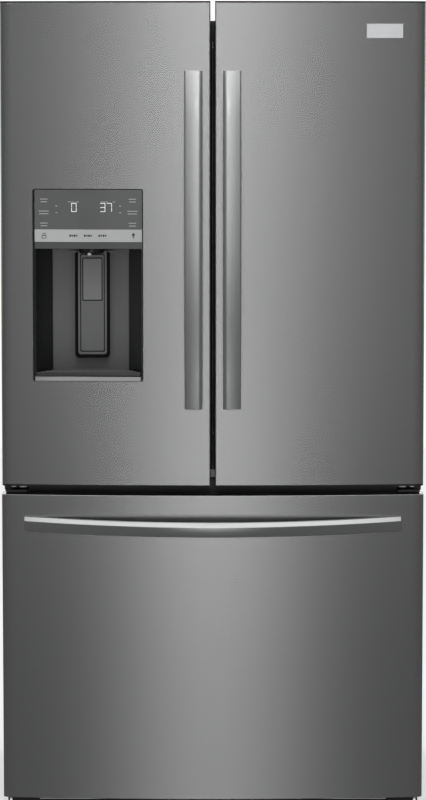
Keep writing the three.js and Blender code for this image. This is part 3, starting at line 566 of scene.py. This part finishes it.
def gasket_fins():
    """Soft lips on the two door gaskets that close the slit between the doors."""
    for side_name, side in SIDES:
        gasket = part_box(f"{side_name}_door_gasket")
        near = min(abs(gasket[0].x), abs(gasket[1].x))
        depth = (gasket[0].y + gasket[1].y) / 2
        outline = [(side * FIN_GAP, depth - FIN_TIP), (side * near, depth - FIN_ROOT),
                   (side * near, depth + FIN_ROOT), (side * FIN_GAP, depth + FIN_TIP)]
        fin = prism_mesh(outline, gasket[0].z, gasket[1].z)
        piece(f"{side_name}_gasket_fin", fin, "gasket", f"{side_name}_door")


# ---- handles ----
def bow(t, end, middle, half):
    """Value of a shallow circular arch at a distance t from its middle."""
    rise = abs(middle - end)
    radius = (half ** 2 + rise ** 2) / (2 * rise)
    drop = radius - math.sqrt(max(0.0, radius ** 2 - t ** 2))
    return middle + math.copysign(drop, end - middle)


HANDLE_STEPS = 72
HANDLE_FOOT = 0.040
HANDLE_BAR = 0.015
HANDLE_END = FRONT - 0.014
FACET = 0.0070
CROWN = 0.0025
CROWN_STEPS = 14
FOOT_SUNK = 0.0004


def door_handle(side_name, side):
    """An arched bar with a crowned front, a flat facet on the gap side and solid feet."""
    low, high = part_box(f"{side_name}_door_handle")
    near = min(abs(low.x), abs(high.x))
    far = max(abs(low.x), abs(high.x))
    middle_z = (low.z + high.z) / 2
    half = (high.z - low.z) / 2
    clear_half = half - HANDLE_FOOT
    loops = []
    for i in range(HANDLE_STEPS + 1):
        z = low.z + (high.z - low.z) * i / HANDLE_STEPS
        t = z - middle_z
        outside = bow(t, HANDLE_END, low.y, half)
        inside = None
        if abs(t) < clear_half:
            inside = bow(t, FRONT - 0.0003, low.y + HANDLE_BAR, clear_half)
        loops.append([(side * u, y, z) for u, y in handle_section(near, far, outside, inside)])
    bm = bmesh.new()
    add_loft(bm, loops)
    piece(f"{side_name}_handle_bar", bm, "handle", f"{side_name}_door",
          [f"{side_name}_door_handle"], 0.0009, 3)


def handle_section(near, far, outside, inside):
    """Cross-section of a door handle in plan; inside is None where the bar stands on the panel."""
    crown = []
    for i in range(CROWN_STEPS + 1):
        share = i / CROWN_STEPS
        u = near + FACET + (far - near - FACET - 0.0015) * share
        crown.append((u, outside + CROWN * share ** 2))
    back_far = (front_at(far) - FOOT_SUNK) if inside is None else inside + 0.0015
    back_near = (front_at(near) - FOOT_SUNK) if inside is None else inside + 0.0015
    return [
        (near, outside + 0.0032),
        (near + 0.0012, outside + 0.0019),
        (near + FACET * 0.55, outside + 0.0007),
        *crown,
        (far, crown[-1][1] + 0.0018),
        (far, back_far),
        (near, back_near),
    ]


ARCH_STEPS = 96
ARCH_FOOT = 0.037
ARCH_BAR = 0.016
ARCH_END = 0.0166
ARCH_RISE = 0.0045
FACE_HEIGHT = 0.0092
FACE_SHARES = (0, 0.12, 0.25, 0.4, 0.55, 0.7, 0.85, 1.0)


def drawer_handle():
    """A bar that arches across the drawer, with a bright facet along its top edge."""
    low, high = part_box("drawer_handle")
    half = high.x
    clear_half = half - ARCH_FOOT
    loops = []
    for i in range(ARCH_STEPS + 1):
        x = low.x + (high.x - low.x) * i / ARCH_STEPS
        outside = bow(x, front_at(half) - ARCH_END, low.y, half)
        inside = front_at(x) - 0.0005
        if abs(x) < clear_half:
            inside = bow(x, front_at(clear_half) - 0.0006, low.y + ARCH_BAR, clear_half)
        loops.append([(x, y, z) for y, z in arch_section(x / half, low.z, high.z, outside, inside)])
    bm = bmesh.new()
    add_loft(bm, loops)
    piece("drawer_handle_bar", bm, "handle_flat", "freezer_drawer",
          ["drawer_handle"], 0.0008, 3)


def arch_section(reach, low, high, outside, inside):
    """Cross-section of the drawer's handle; reach runs from -1 to 1 and lifts the bar towards its ends."""
    depth = inside - outside
    facet = min(0.0095, depth * 0.62)
    lean = min(0.0090, depth * 0.5)
    rise = ARCH_RISE * reach ** 2
    top = high + rise - 0.0022
    bottom = low + rise + 0.0020
    face_top = top - FACE_HEIGHT
    face_low = low + rise + 0.0034
    face = [(outside + lean * share ** 1.3, face_top + (face_low - face_top) * share)
            for share in FACE_SHARES]
    return [
        (inside, top),
        (outside + facet, top),
        (outside + facet * 0.47, top - 0.0047),
        *face,
        (outside + lean + 0.0015, bottom),
        (inside, bottom),
    ]


# ---- dispenser ----
RECESS_TOP = CONTROL[0].z - 0.0005
SILL_TOP = TRAY[0].z - 0.0003
LEFT_WALL = HOUSING[0].x + 0.0042
RIGHT_WALL = HOUSING[1].x - 0.0034
BACK_LEFT = HOUSING[0].x + 0.0432
BACK_RIGHT = HOUSING[1].x - 0.0364
BACK_Y = HOUSING[1].y - 0.004
PANEL_INSET = 0.0022
PANEL_FIT = 0.0003
PANEL_DEPTH = 0.0205
STRIP_STEP = 0.008


def curved_strip(left, right, near, far, low_z, high_z):
    """A block whose face follows the bowed front, some way behind it, with a flat back at a given depth."""
    outline = front_points(left, right, near, STRIP_STEP) + [(right, far), (left, far)]
    return prism_mesh(outline, low_z, high_z)


def recess_cutter():
    """The hollow of the dispenser, narrowing towards a back wall with rounded corners."""
    outline = [
        (LEFT_WALL, FRONT - 0.03),
        (RIGHT_WALL, FRONT - 0.03),
        (RIGHT_WALL, FRONT + 0.012),
        (BACK_RIGHT + 0.006, BACK_Y - 0.004),
        *arc((BACK_RIGHT + 0.0005, BACK_Y - 0.006), 0.006, 20, 90, 5),
        *arc((BACK_LEFT - 0.0005, BACK_Y - 0.006), 0.006, 90, 160, 5),
        (BACK_LEFT - 0.006, BACK_Y - 0.004),
        (LEFT_WALL, FRONT + 0.012),
    ]
    return prism_mesh(outline, SILL_TOP, RECESS_TOP - 0.0001)


def dispenser_housing():
    """The surround, its recess and the bed of the control panel, cut from one block."""
    low, high = HOUSING
    outline = rounded_rect((low.x, low.z), (high.x, high.z), DISPENSER_RADIUS - 0.0003)
    block = curved_strip(low.x - 0.01, high.x + 0.01, 0.0005, high.y, low.z - 0.01, high.z + 0.01)
    ring = carved(box_mesh((low.x - 0.02, FRONT - 0.03, low.z - 0.02), (high.x + 0.02, 0, high.z + 0.02)),
                  prism_mesh(outline, FRONT - 0.05, 0.05, "Y"))
    bed = curved_strip(CONTROL[0].x + PANEL_INSET - PANEL_FIT, CONTROL[1].x + PANEL_FIT, -0.02, FRONT + 0.021,
                       CONTROL[0].z - PANEL_FIT, CONTROL[1].z + PANEL_FIT)
    housing = carved(block, ring, recess_cutter(), bed)
    surround = piece("dispenser_surround", housing, "recess", "left_door",
                     ["dispenser_housing"], 0.0006)
    back_wall = BACK_Y - 0.008

    def outside_back_wall(centre, normal):
        return not (centre.y > back_wall and normal.y < -0.8 and RECESS_TOP > centre.z > SILL_TOP)

    repaint(surround, "gloss_black", outside_back_wall)


SPOUT_HEIGHT = 0.0105
SPOUT_Y = -0.351


def turned_mesh(centre, profile, sides):
    """A round solid about an upright line, from its radius at each height."""
    bm = bmesh.new()
    add_loft(bm, [[(x, y, z) for x, y in circle(centre, radius, sides)] for radius, z in profile])
    return bm


def dispenser_spout():
    """The ring round the ice chute, with the water nozzle in front of its middle."""
    low_z = RECESS_TOP - SPOUT_HEIGHT
    centre = ((PADDLE[0].x + PADDLE[1].x) / 2, SPOUT_Y)
    ring = ((0.0275, RECESS_TOP), (0.0278, low_z + 0.006), (0.0268, low_z + 0.002), (0.0245, low_z),
            (0.0205, low_z + 0.0005), (0.0195, low_z + 0.014))
    piece("ice_chute_ring", turned_mesh(centre, ring, 48), "gloss_black", "left_door")
    nozzle = ((0.0045, RECESS_TOP), (0.0045, low_z - 0.0015), (0.0032, low_z - 0.0035))
    tube = turned_mesh((centre[0] - 0.004, centre[1] - 0.022), nozzle, 24)
    piece("water_nozzle", tube, "light_grey", "left_door")


PADDLE_HALF = 0.0375
PADDLE_TOP = PADDLE[1].z - 0.004
WINDOW_LOW = PADDLE_TOP - 0.107
PIN_Y = -0.3145
PIN_RADIUS = 0.0024


def paddle_slab(inset, rise, drop, near, far, radius, bottom=PADDLE[0].z):
    """A plate within the paddle's outline, its depths counted back from the paddle's front face."""
    middle = (PADDLE[0].x + PADDLE[1].x) / 2
    half = PADDLE_HALF - inset
    outline = rounded_rect((middle - half, bottom + rise), (middle + half, PADDLE_TOP - drop), radius)
    return prism_mesh(outline, PADDLE[0].y + near, PADDLE[0].y + far, "Y")


def paddle():
    """The paddle: a thick dark frame round a raised grey pad with a pale window near its top."""
    low, high = PADDLE
    body = "dispenser_paddle"
    frame_body = paddle_slab(0, 0, 0, 0.0004, high.y - low.y, 0.009)
    channel = paddle_slab(0.0060, 0.0062, -0.03, -0.01, 0.0038, 0.006)
    piece("paddle_frame", carved(frame_body, channel), "ink", body,
          ["dispenser_paddle"], 0.0007)
    rim = paddle_slab(0.0066, 0.0072, 0, 0.0002, 0.0036, 0.006)
    groove = paddle_slab(0.0112, 0.0128, 0.006, -0.01, 0.0018, 0.003)
    piece("paddle_rim", carved(rim, groove), "recess", body, (), 0.0006)
    seam = paddle_slab(0.0113, 0.0130, 0.0062, 0.0012, 0.0024, 0.003)
    piece("paddle_seam", seam, "ink", body, (), 0.0002)
    pad = paddle_slab(0.0130, 0.0150, 0.0080, 0.0002, 0.0011, 0.003)
    pocket = paddle_slab(0.0158, 0, 0.0140, -0.01, 0.0008, 0.002, WINDOW_LOW)
    piece("paddle_pad", carved(pad, pocket), "recess", body, (), 0.0003)
    window_seam = paddle_slab(0.0160, 0.0002, 0.0142, 0.0003, 0.0010, 0.0018, WINDOW_LOW)
    piece("paddle_window_seam", window_seam, "ink", body)
    window = paddle_slab(0.0178, 0.0022, 0.0162, 0, 0.0005, 0.0015, WINDOW_LOW)
    piece("paddle_window", window, "window", body, (), 0.0002)
    pins = prism_mesh(circle((PIN_Y, PADDLE_TOP - 0.001), PIN_RADIUS, 20), low.x, high.x, "X")
    piece("paddle_pin", pins, "recess", body)


TRAY_BARS = 4
BAR_HALF = 0.0022


def drip_tray():
    """A shallow dark pan that narrows towards the back, under a row of grey bars."""
    low, high = TRAY
    front = low.y
    pan = [(low.x + 0.001, front), (high.x - 0.001, front),
           (BACK_RIGHT + 0.004, high.y), (BACK_LEFT - 0.004, high.y)]
    piece("tray_pan", prism_mesh(pan, low.z, high.z - 0.004), "gloss_black", "drip_tray",
          ["drip_tray"], 0.001)
    bars = bmesh.new()
    for i in range(TRAY_BARS):
        y = front + 0.008 + i * (high.y - front - 0.014) / (TRAY_BARS - 1)
        reach = (y - front) / (high.y - front)
        left = low.x + 0.006 + reach * (BACK_LEFT - low.x)
        right = high.x - 0.006 - reach * (high.x - BACK_RIGHT)
        outline = rounded_rect((left, y - BAR_HALF), (right, y + BAR_HALF), 0.002, 3)
        add_prism(bars, outline, high.z - 0.0052, high.z - 0.0030)
    piece("tray_bars", bars, "grey", "drip_tray", (), 0.0006)


def sill():
    """The bright lip along the bottom of the recess."""
    low, high = HOUSING
    bm = curved_strip(low.x + 0.0045, high.x - 0.0055, 0.0002, FRONT + 0.020,
                      low.z + 0.0008, SILL_TOP - 0.0002)
    piece("dispenser_sill", bm, "sill", "left_door", (), 0.0005)


BAR_LOW = CONTROL[0].z + 0.0146
BAR_HIGH = BAR_LOW + 0.0266


def control_panel():
    """The display face, the touch bar below it and the band along the bottom."""
    low, high = CONTROL
    parts = (
        ("display_face", BAR_HIGH + 0.0002, high.z, "control", "control_glass", -0.0002),
        ("touch_bar", BAR_LOW, BAR_HIGH, "bar", "grey_plastic", -0.0002),
        ("panel_lower_band", low.z, BAR_LOW - 0.0002, "band", "control_glass", 0.0006),
    )
    for name, z0, z1, material, slot, near in parts:
        bm = curved_strip(low.x + PANEL_INSET, high.x, near, FRONT + PANEL_DEPTH, z0, z1)
        replaced = ["dispenser_panel"] if name == "display_face" else ()
        piece(name, bm, material, "left_door", replaced, 0.0004)


MARK_PROUD = 0.00045
MARK_SUNK = 0.0001


def add_mark(bm, x0, x1, z0, z1):
    """A flat mark that lies on the bowed control panel."""
    steps = max(1, round((x1 - x0) / 0.004))
    xs = [x0 + (x1 - x0) * i / steps for i in range(steps + 1)]
    outside = [(x, front_at(x) - MARK_PROUD) for x in xs]
    inside = [(x, front_at(x) - MARK_SUNK) for x in reversed(xs)]
    add_prism(bm, outside + inside, z0, z1)


SEGMENTS = {"0": "abcdef", "3": "abgcd", "7": "abc"}


def add_digit(bm, digit, left, bottom, width, height, stroke):
    """A seven-segment numeral."""
    right = left + width
    top = bottom + height
    middle = (bottom + top) / 2
    gap = stroke * 0.35
    bars = {
        "a": (left + gap, right - gap, top - stroke, top),
        "g": (left + gap, right - gap, middle - stroke / 2, middle + stroke / 2),
        "d": (left + gap, right - gap, bottom, bottom + stroke),
        "f": (left, left + stroke, middle + gap, top - gap),
        "b": (right - stroke, right, middle + gap, top - gap),
        "e": (left, left + stroke, bottom + gap, middle - gap),
        "c": (right - stroke, right, bottom + gap, middle - gap),
    }
    for name in SEGMENTS[digit]:
        add_mark(bm, *bars[name])


DIGITS = (("0", -0.3012), ("3", -0.2398), ("7", -0.2258))
LABEL_DROPS = (0.0234, 0.0489, 0.0745)
LABEL_LEFTS = (-0.3680, -0.1790)
DASH_LEFTS = (-0.3350, -0.1990)
CAPTION_SPANS = ((-0.3090, -0.2950), (-0.2920, -0.2850), (-0.2390, -0.2220), (-0.2130, -0.2070))
LINE_HEIGHT = 0.0013


def display_marks():
    """Two temperatures, and plain dashes where a real panel has its labels."""
    top = CONTROL[1].z
    digits = bmesh.new()
    for digit, left in DIGITS:
        add_digit(digits, digit, left, top - 0.0469, 0.0112, 0.0190, 0.0014)
    piece("display_digits", digits, "lit", "left_door")
    labels = bmesh.new()
    for row, row_drop in enumerate(LABEL_DROPS):
        shift = 0.003 if row == 1 else 0.0
        for line, (indent, width) in enumerate(((0.000, 0.016), (0.001, 0.014))):
            low = top - row_drop + 0.003 - line * 0.0058
            for left in LABEL_LEFTS:
                add_mark(labels, left + indent - shift, left + indent + width + shift, low, low + LINE_HEIGHT)
    for left in DASH_LEFTS:
        for drop in (0.0350, 0.0492):
            add_mark(labels, left, left + 0.004, top - drop, top - drop + LINE_HEIGHT)
    for left, right in CAPTION_SPANS:
        add_mark(labels, left, right, top - 0.0262, top - 0.0252)
    piece("display_labels", labels, "print", "left_door")


LOCK_X = -0.3596
LAMP_X = -0.1690
CHOICES = (-0.2970, -0.2660, -0.2350)
LOCK_STROKE = 0.0012


def touch_icons():
    """A padlock, three choices shown as rows of blocks, and a lamp, on the touch bar."""
    bm = bmesh.new()
    z = (BAR_LOW + BAR_HIGH) / 2
    for rise in (-0.0060, -0.0005):
        add_mark(bm, LOCK_X - 0.0048, LOCK_X + 0.0048, z + rise, z + rise + LOCK_STROKE)
    for left in (-0.0048, 0.0036):
        add_mark(bm, LOCK_X + left, LOCK_X + left + LOCK_STROKE, z - 0.0048, z - 0.0005)
    for left in (-0.0030, 0.0018):
        add_mark(bm, LOCK_X + left, LOCK_X + left + LOCK_STROKE, z + 0.0005, z + 0.0050)
    add_mark(bm, LOCK_X - 0.0030, LOCK_X + 0.0030, z + 0.0045, z + 0.0056)
    for x in CHOICES:
        for k in range(4):
            start = x - 0.0085 + k * 0.0046
            height = 0.0016 if k % 2 else 0.0024
            add_mark(bm, start, start + 0.0034, z - height, z + height)
    add_mark(bm, LAMP_X - 0.0026, LAMP_X + 0.0026, z - 0.0010, z + 0.0052)
    add_mark(bm, LAMP_X - 0.0015, LAMP_X + 0.0015, z - 0.0048, z - 0.0020)
    piece("touch_bar_icons", bm, "dark_print", "left_door")


# ---- small outside pieces ----
PLATE_STEPS = 12
RIDGE_LOW = PLATE[0].z + 0.0105
RIDGE_HIGH = PLATE[0].z + 0.0125


def blank_plate():
    """A plain plate with a raised border and no lettering."""
    low, high = PLATE
    xs = [low.x + (high.x - low.x) * i / PLATE_STEPS for i in range(PLATE_STEPS + 1)]

    def strip(near, far, inset):
        clipped = [min(max(x, low.x + inset), high.x - inset) for x in xs]
        outside = [(x, front_at(x) - near) for x in clipped]
        inside = [(x, front_at(x) - far) for x in reversed(clipped)]
        return prism_mesh(outside + inside, low.z + inset, high.z - inset)

    base = strip(0.0018, 0.0004, 0.0)
    hollow = strip(0.0030, 0.0014, 0.0016)
    piece("blank_badge", carved(base, hollow), "badge", "right_door", ["nameplate"], 0.0003)
    ridge = strip(0.0022, 0.0013, 0.0030)
    above = box_mesh((low.x, -0.5, RIDGE_HIGH), (high.x, 0.0, high.z))
    below = box_mesh((low.x, -0.5, low.z), (high.x, 0.0, RIDGE_LOW))
    piece("badge_ridge", carved(ridge, above, below), "badge", "right_door", (), 0.0002)


CAP_DROP = 0.0033
CAM_Y = -0.352
CAMS = ((0.4285, 0.0052), (0.4085, 0.0085))


def hinge_closers():
    """The pale cam discs under each door's hinge corner."""
    for side_name, side in SIDES:
        door_low = SKIN[side_name][0].z - CAP_DROP
        bm = bmesh.new()
        for reach, radius in CAMS:
            add_prism(bm, circle((side * reach, CAM_Y), radius, 32), door_low - 0.0035, door_low - 0.0004)
        piece(f"{side_name}_door_cam", bm, "light_grey", f"{side_name}_door", (), 0.0006)


GUIDE_HALF = 0.016
GUIDE_LOW = 0.7535
GUIDE_HIGH = 0.7705
GUIDE_REACH = 0.0102


def mullion_guide():
    """The small grey guide on the crossbar that folds the mullion as the door closes."""
    case_front = SHELL[0].y
    outline = rounded_rect((-GUIDE_HALF, GUIDE_LOW), (GUIDE_HALF, GUIDE_HIGH), 0.003)
    bm = prism_mesh(outline, case_front - GUIDE_REACH, case_front - 0.0003, "Y")
    piece("mullion_guide", bm, "light_grey", "cabinet", (), 0.0012)


# ---- inside pieces ----
TRIM_TAIL = 0.016
TRIM_NOSE = 0.006
TRIM_FIT = 0.0002


def shelf_trim(name, z0, z1, left, right, front):
    """A pale channel that wraps the front edge of a glass plate."""
    tail = front + TRIM_TAIL
    nose = front - TRIM_NOSE
    throat = front - TRIM_FIT
    outline = [
        (nose, z0 - 0.0035),
        (tail, z0 - 0.0035),
        (tail, z0 - TRIM_FIT),
        (throat, z0 - TRIM_FIT),
        (throat, z1 + TRIM_FIT),
        (tail, z1 + TRIM_FIT),
        (tail, z1 + 0.0025),
        (nose, z1 + 0.0025),
    ]
    piece(name, prism_mesh(outline, left, right, "X"), "light_grey", "cabinet", (), 0.001)


GLASS_THICKNESS = 0.008
COVER_TRIM_HALF = 0.388


def shelf_trims():
    """Trims for the two glass shelves and for the crisper cover."""
    for side_name, _ in SIDES:
        low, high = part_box(f"glass_shelf_{side_name}")
        shelf_trim(f"shelf_trim_{side_name}", high.z - GLASS_THICKNESS, high.z,
                   low.x + 0.001, high.x - 0.001, low.y)
    low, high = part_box("crisper_cover")
    shelf_trim("crisper_cover_trim", low.z, high.z, -COVER_TRIM_HALF, COVER_TRIM_HALF, low.y)


GRIP_MARGIN = 0.060
GRIP_PROFILE = (
    (0.0002, 0.040),
    (0.010, 0.034),
    (0.011, 0.020),
    (0.008, 0.020),
    (0.006, 0.031),
    (0.0002, 0.034),
)


def crisper_handles():
    """A hooked lip across each crisper drawer's front, below its rim."""
    for side_name, _ in SIDES:
        low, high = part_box(f"crisper_{side_name}")
        lip = [(low.y - reach, high.z - drop) for reach, drop in GRIP_PROFILE]
        bm = prism_mesh(lip, low.x + GRIP_MARGIN, high.x - GRIP_MARGIN, "X")
        piece(f"crisper_handle_{side_name}", bm, "light_grey", f"crisper_{side_name}", (), 0.0008)


SLOT_MARGIN = 0.018
SLOT_HALF = 0.004
SLOT_FLOOR = 0.0025
LAID_ON = 0.0002


def slotted_cover(name, half, low, high, thickness, slots):
    """A moulded air cover on the liners' back wall, with a row of slots down it."""
    front = LINER_BACK - thickness
    bm = prism_mesh(rounded_rect((-half, low), (half, high), 0.012), front, LINER_BACK - LAID_ON, "Y")
    cutters = []
    for i in range(slots):
        z = low + (high - low) * (i + 0.5) / slots
        slot = rounded_rect((-half + SLOT_MARGIN, z - SLOT_HALF), (half - SLOT_MARGIN, z + SLOT_HALF), 0.0035)
        cutters.append(prism_mesh(slot, front - 0.01, LINER_BACK - SLOT_FLOOR, "Y"))
    piece(name, carved(bm, *cutters), "liner", "cabinet", (), 0.002)


LIGHT_Y = -0.170
LIGHT_SIZE = (0.130, 0.020)
LENS_SIZE = (0.120, 0.014)


def ceiling_light():
    """A light on the fresh food liner's ceiling: a housing with a lens under it."""
    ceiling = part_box("fresh_food_liner")[1].z - LINER_WALL

    def block(size, drop, rise):
        half, depth = size
        return box_mesh((-half, LIGHT_Y - depth, ceiling - drop), (half, LIGHT_Y + depth, ceiling - rise))

    housing = block(LIGHT_SIZE, 0.006, LAID_ON)
    piece("light_housing", housing, "light_grey", "cabinet", (), 0.0015)
    lens = block(LENS_SIZE, 0.0085, 0.0062)
    piece("light_lens", lens, "lit", "cabinet", (), 0.001)


def extra_bin(side_name, rise):
    """Another door bin like the modelled one, higher up the door."""
    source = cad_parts[f"{side_name}_door_bin"]
    bm = bmesh.new()
    bm.from_mesh(source.data)
    bm.transform(source.matrix_world)
    bmesh.ops.translate(bm, vec=(0, 0, rise), verts=bm.verts)
    bmesh.ops.remove_doubles(bm, verts=bm.verts, dist=WELD_DISTANCE)
    piece(f"{side_name}_upper_bin", bm, "clear", f"{side_name}_door", (), 0.001)


PULL_HALF = 0.110
PULL_RADIUS = 0.005


def basket_grip():
    """A rolled pull along the front rim of the sliding upper basket."""
    low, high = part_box("upper_basket")
    bm = prism_mesh(circle((low.y + 0.0015, high.z + 0.0052), PULL_RADIUS, 20), -PULL_HALF, PULL_HALF, "X")
    piece("basket_grip", bm, "light_grey", "upper_basket", (), 0.001)


# ---- outside of the cabinet ----
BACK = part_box("back_panel")[1].y
OFF_FACE = 0.0001
SCREW_X = 0.436
SCREW_LOW = 0.36
SCREW_PITCH = 0.262
COVER_SCREW = (0.421, -0.228)


def screw_heads():
    """Screws down both sides of the rear panel, and one on each hinge cover."""
    bm = bmesh.new()
    for _, side in SIDES:
        for i in range(6):
            head = circle((side * SCREW_X, SCREW_LOW + i * SCREW_PITCH), 0.0045, 20)
            add_prism(bm, head, BACK + OFF_FACE, BACK + 0.0016, "Y")
    piece("panel_screws", bm, "zinc", "cabinet", (), 0.0006)
    cover_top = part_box("hinge_cover_left")[1].z
    caps = bmesh.new()
    for _, side in SIDES:
        cap = circle((side * COVER_SCREW[0], COVER_SCREW[1]), 0.0050, 20)
        add_prism(caps, cap, cover_top + OFF_FACE, cover_top + 0.0014)
    piece("cover_screws", caps, "black", "cabinet", (), 0.0006)


RIB_RISE = 0.0022
UPRIGHT_RIBS = ((-0.27, 0.42, 1.62), (0.27, 0.42, 1.62))
LEVEL_RIBS = ((0.62, 0.652), (1.38, 1.412))
LABEL_HALF = 0.055
LABEL_SPAN = (0.95, 1.03)


def back_ribs():
    """Pressed stiffening ribs and a blank rating label on the rear panel."""
    bm = bmesh.new()
    for x, low, high in UPRIGHT_RIBS:
        rib = rounded_rect((x - 0.016, low), (x + 0.016, high), 0.012)
        add_prism(bm, rib, BACK + OFF_FACE, BACK + RIB_RISE, "Y")
    for low, high in LEVEL_RIBS:
        rib = rounded_rect((-0.20, low), (0.20, high), 0.012)
        add_prism(bm, rib, BACK + OFF_FACE, BACK + RIB_RISE, "Y")
    piece("back_ribs", bm, "zinc", "cabinet", (), 0.0016, 3)
    outline = rounded_rect((-LABEL_HALF, LABEL_SPAN[0]), (LABEL_HALF, LABEL_SPAN[1]), 0.003)
    label = prism_mesh(outline, BACK + OFF_FACE, BACK + 0.0004, "Y")
    piece("blank_label", label, "light_grey", "cabinet", (), 0.0001)


# ---- stage ----
def aim(obj, target):
    direction = Vector(target) - obj.location
    obj.rotation_euler = direction.to_track_quat("-Z", "Y").to_euler()


def area_light(name, place, target, width, height, radiance):
    """A soft box whose power is set from the brightness of its face."""
    light = bpy.data.lights.new(name, "AREA")
    light.shape = "RECTANGLE"
    light.size = width
    light.size_y = height
    light.energy = radiance * math.pi * width * height
    obj = bpy.data.objects.new(name, light)
    obj.location = place
    bpy.context.scene.collection.objects.link(obj)
    aim(obj, target)
    obj.visible_camera = False


# Each front box runs between two elevations in degrees, and has its own brightness.
FRONT_BOXES = (
    (-45, -30, 3.2),
    (-30, -17, 2.7),
    (-17, -11.5, 3.3),
    (-11.5, -5.5, 4.6),
    (-5.5, 0, 3.4),
    (0, 12, 4.8),
    (12, 24, 5.0),
    (24, 42, 6.0),
)
ARC_RADIUS = 10.5
ARC_CENTRE = Vector((0, -0.4, 1.2))
BANK_WIDTH = 0.9


def arc_light(low, high, radiance):
    """One soft box of the tall bank in front, between two elevations in degrees."""
    middle = math.radians((low + high) / 2)
    place = ARC_CENTRE + ARC_RADIUS * Vector((0, -math.cos(middle), math.sin(middle)))
    height = 2 * ARC_RADIUS * math.tan(math.radians(high - low) / 2)
    area_light("front_box", place, ARC_CENTRE, BANK_WIDTH, height, radiance)


def studio():
    """A pale floor, the lights, and a world that is white to the camera and dim to everything else."""
    bm = prism_mesh(circle((0, 0), 7, 96), -0.02, 0.0)
    mesh = bpy.data.meshes.new("studio_floor")
    bm.to_mesh(mesh)
    bm.free()
    floor_surface = Surface("studio_floor", 0.8)
    floor_surface.colour(floor_surface.noise(3), (0.84, 0.84, 0.84), (0.87, 0.87, 0.87))
    floor_surface.shader.inputs["Emission Color"].default_value = (1, 1, 1, 1)
    floor_surface.shader.inputs["Emission Strength"].default_value = 0.35
    mesh.materials.append(floor_surface.material)
    floor = bpy.data.objects.new("studio_floor", mesh)
    bpy.context.scene.collection.objects.link(floor)
    floor.visible_glossy = False

    for low, high, radiance in FRONT_BOXES:
        arc_light(low, high, radiance)
    area_light("high_front_box", (0, -4.5, 6.5), (0, 0, 1.0), 4.0, 2.5, 2.5)
    area_light("top_box", (0, 0.3, 6.0), (0, 0, 0), 6.0, 5.0, 1.7)
    area_light("left_box", (-7.0, 3.0, 2.6), (0, 0, 1.0), 4.0, 4.0, 1.2)
    area_light("right_box", (7.0, 3.0, 2.6), (0, 0, 1.0), 4.0, 4.0, 1.2)
    area_light("back_box", (0, 8.0, 3.0), (0, 0, 1.0), 4.0, 4.0, 1.5)

    world = bpy.data.worlds.new("studio_air")
    bpy.context.scene.world = world
    world.use_nodes = True
    tree = world.node_tree
    tree.nodes.clear()
    seen = tree.nodes.new("ShaderNodeBackground")
    seen.inputs["Color"].default_value = (1, 1, 1, 1)
    ambient = tree.nodes.new("ShaderNodeBackground")
    ambient.inputs["Color"].default_value = (0.150, 0.151, 0.152, 1)
    path = tree.nodes.new("ShaderNodeLightPath")
    mix = tree.nodes.new("ShaderNodeMixShader")
    output = tree.nodes.new("ShaderNodeOutputWorld")
    tree.links.new(path.outputs["Is Camera Ray"], mix.inputs[0])
    tree.links.new(ambient.outputs[0], mix.inputs[1])
    tree.links.new(seen.outputs[0], mix.inputs[2])
    tree.links.new(mix.outputs[0], output.inputs[0])
    bpy.context.scene.view_settings.view_transform = "Standard"


CAMERA_DISTANCE = 7.0
CAMERA_HEIGHT = 1.6172
CAMERA_PITCH = 5.6
CAMERA_LENS = 148.06


def camera():
    """A long lens at about eye height, pitched down to the middle of the doors."""
    data = bpy.data.cameras.new("camera")
    data.sensor_width = 36
    data.lens = CAMERA_LENS
    data.clip_end = 200
    obj = bpy.data.objects.new("camera", data)
    obj.location = (0.0005, FRONT - CAMERA_DISTANCE, CAMERA_HEIGHT)
    obj.rotation_euler = (math.radians(90 - CAMERA_PITCH), 0, 0)
    bpy.context.scene.collection.objects.link(obj)
    bpy.context.scene.camera = obj


camera()
studio()
finish_carried_nodes()
for side_name, side in SIDES:
    door_skin(side_name, side)
    door_handle(side_name, side)
drawer_skin()
drawer_handle()
gasket_fins()
dispenser_housing()
dispenser_spout()
paddle()
drip_tray()
sill()
control_panel()
display_marks()
touch_icons()
blank_plate()
hinge_closers()
mullion_guide()
shelf_trims()
crisper_handles()
slotted_cover("air_duct_cover", 0.055, 1.080, 1.660, 0.020, 6)
slotted_cover("evaporator_cover", 0.300, 0.350, 0.670, 0.0055, 5)
ceiling_light()
extra_bin("left", 0.644)
extra_bin("right", 0.324)
basket_grip()
screw_heads()
back_ribs()

bpy.context.view_layer.update()
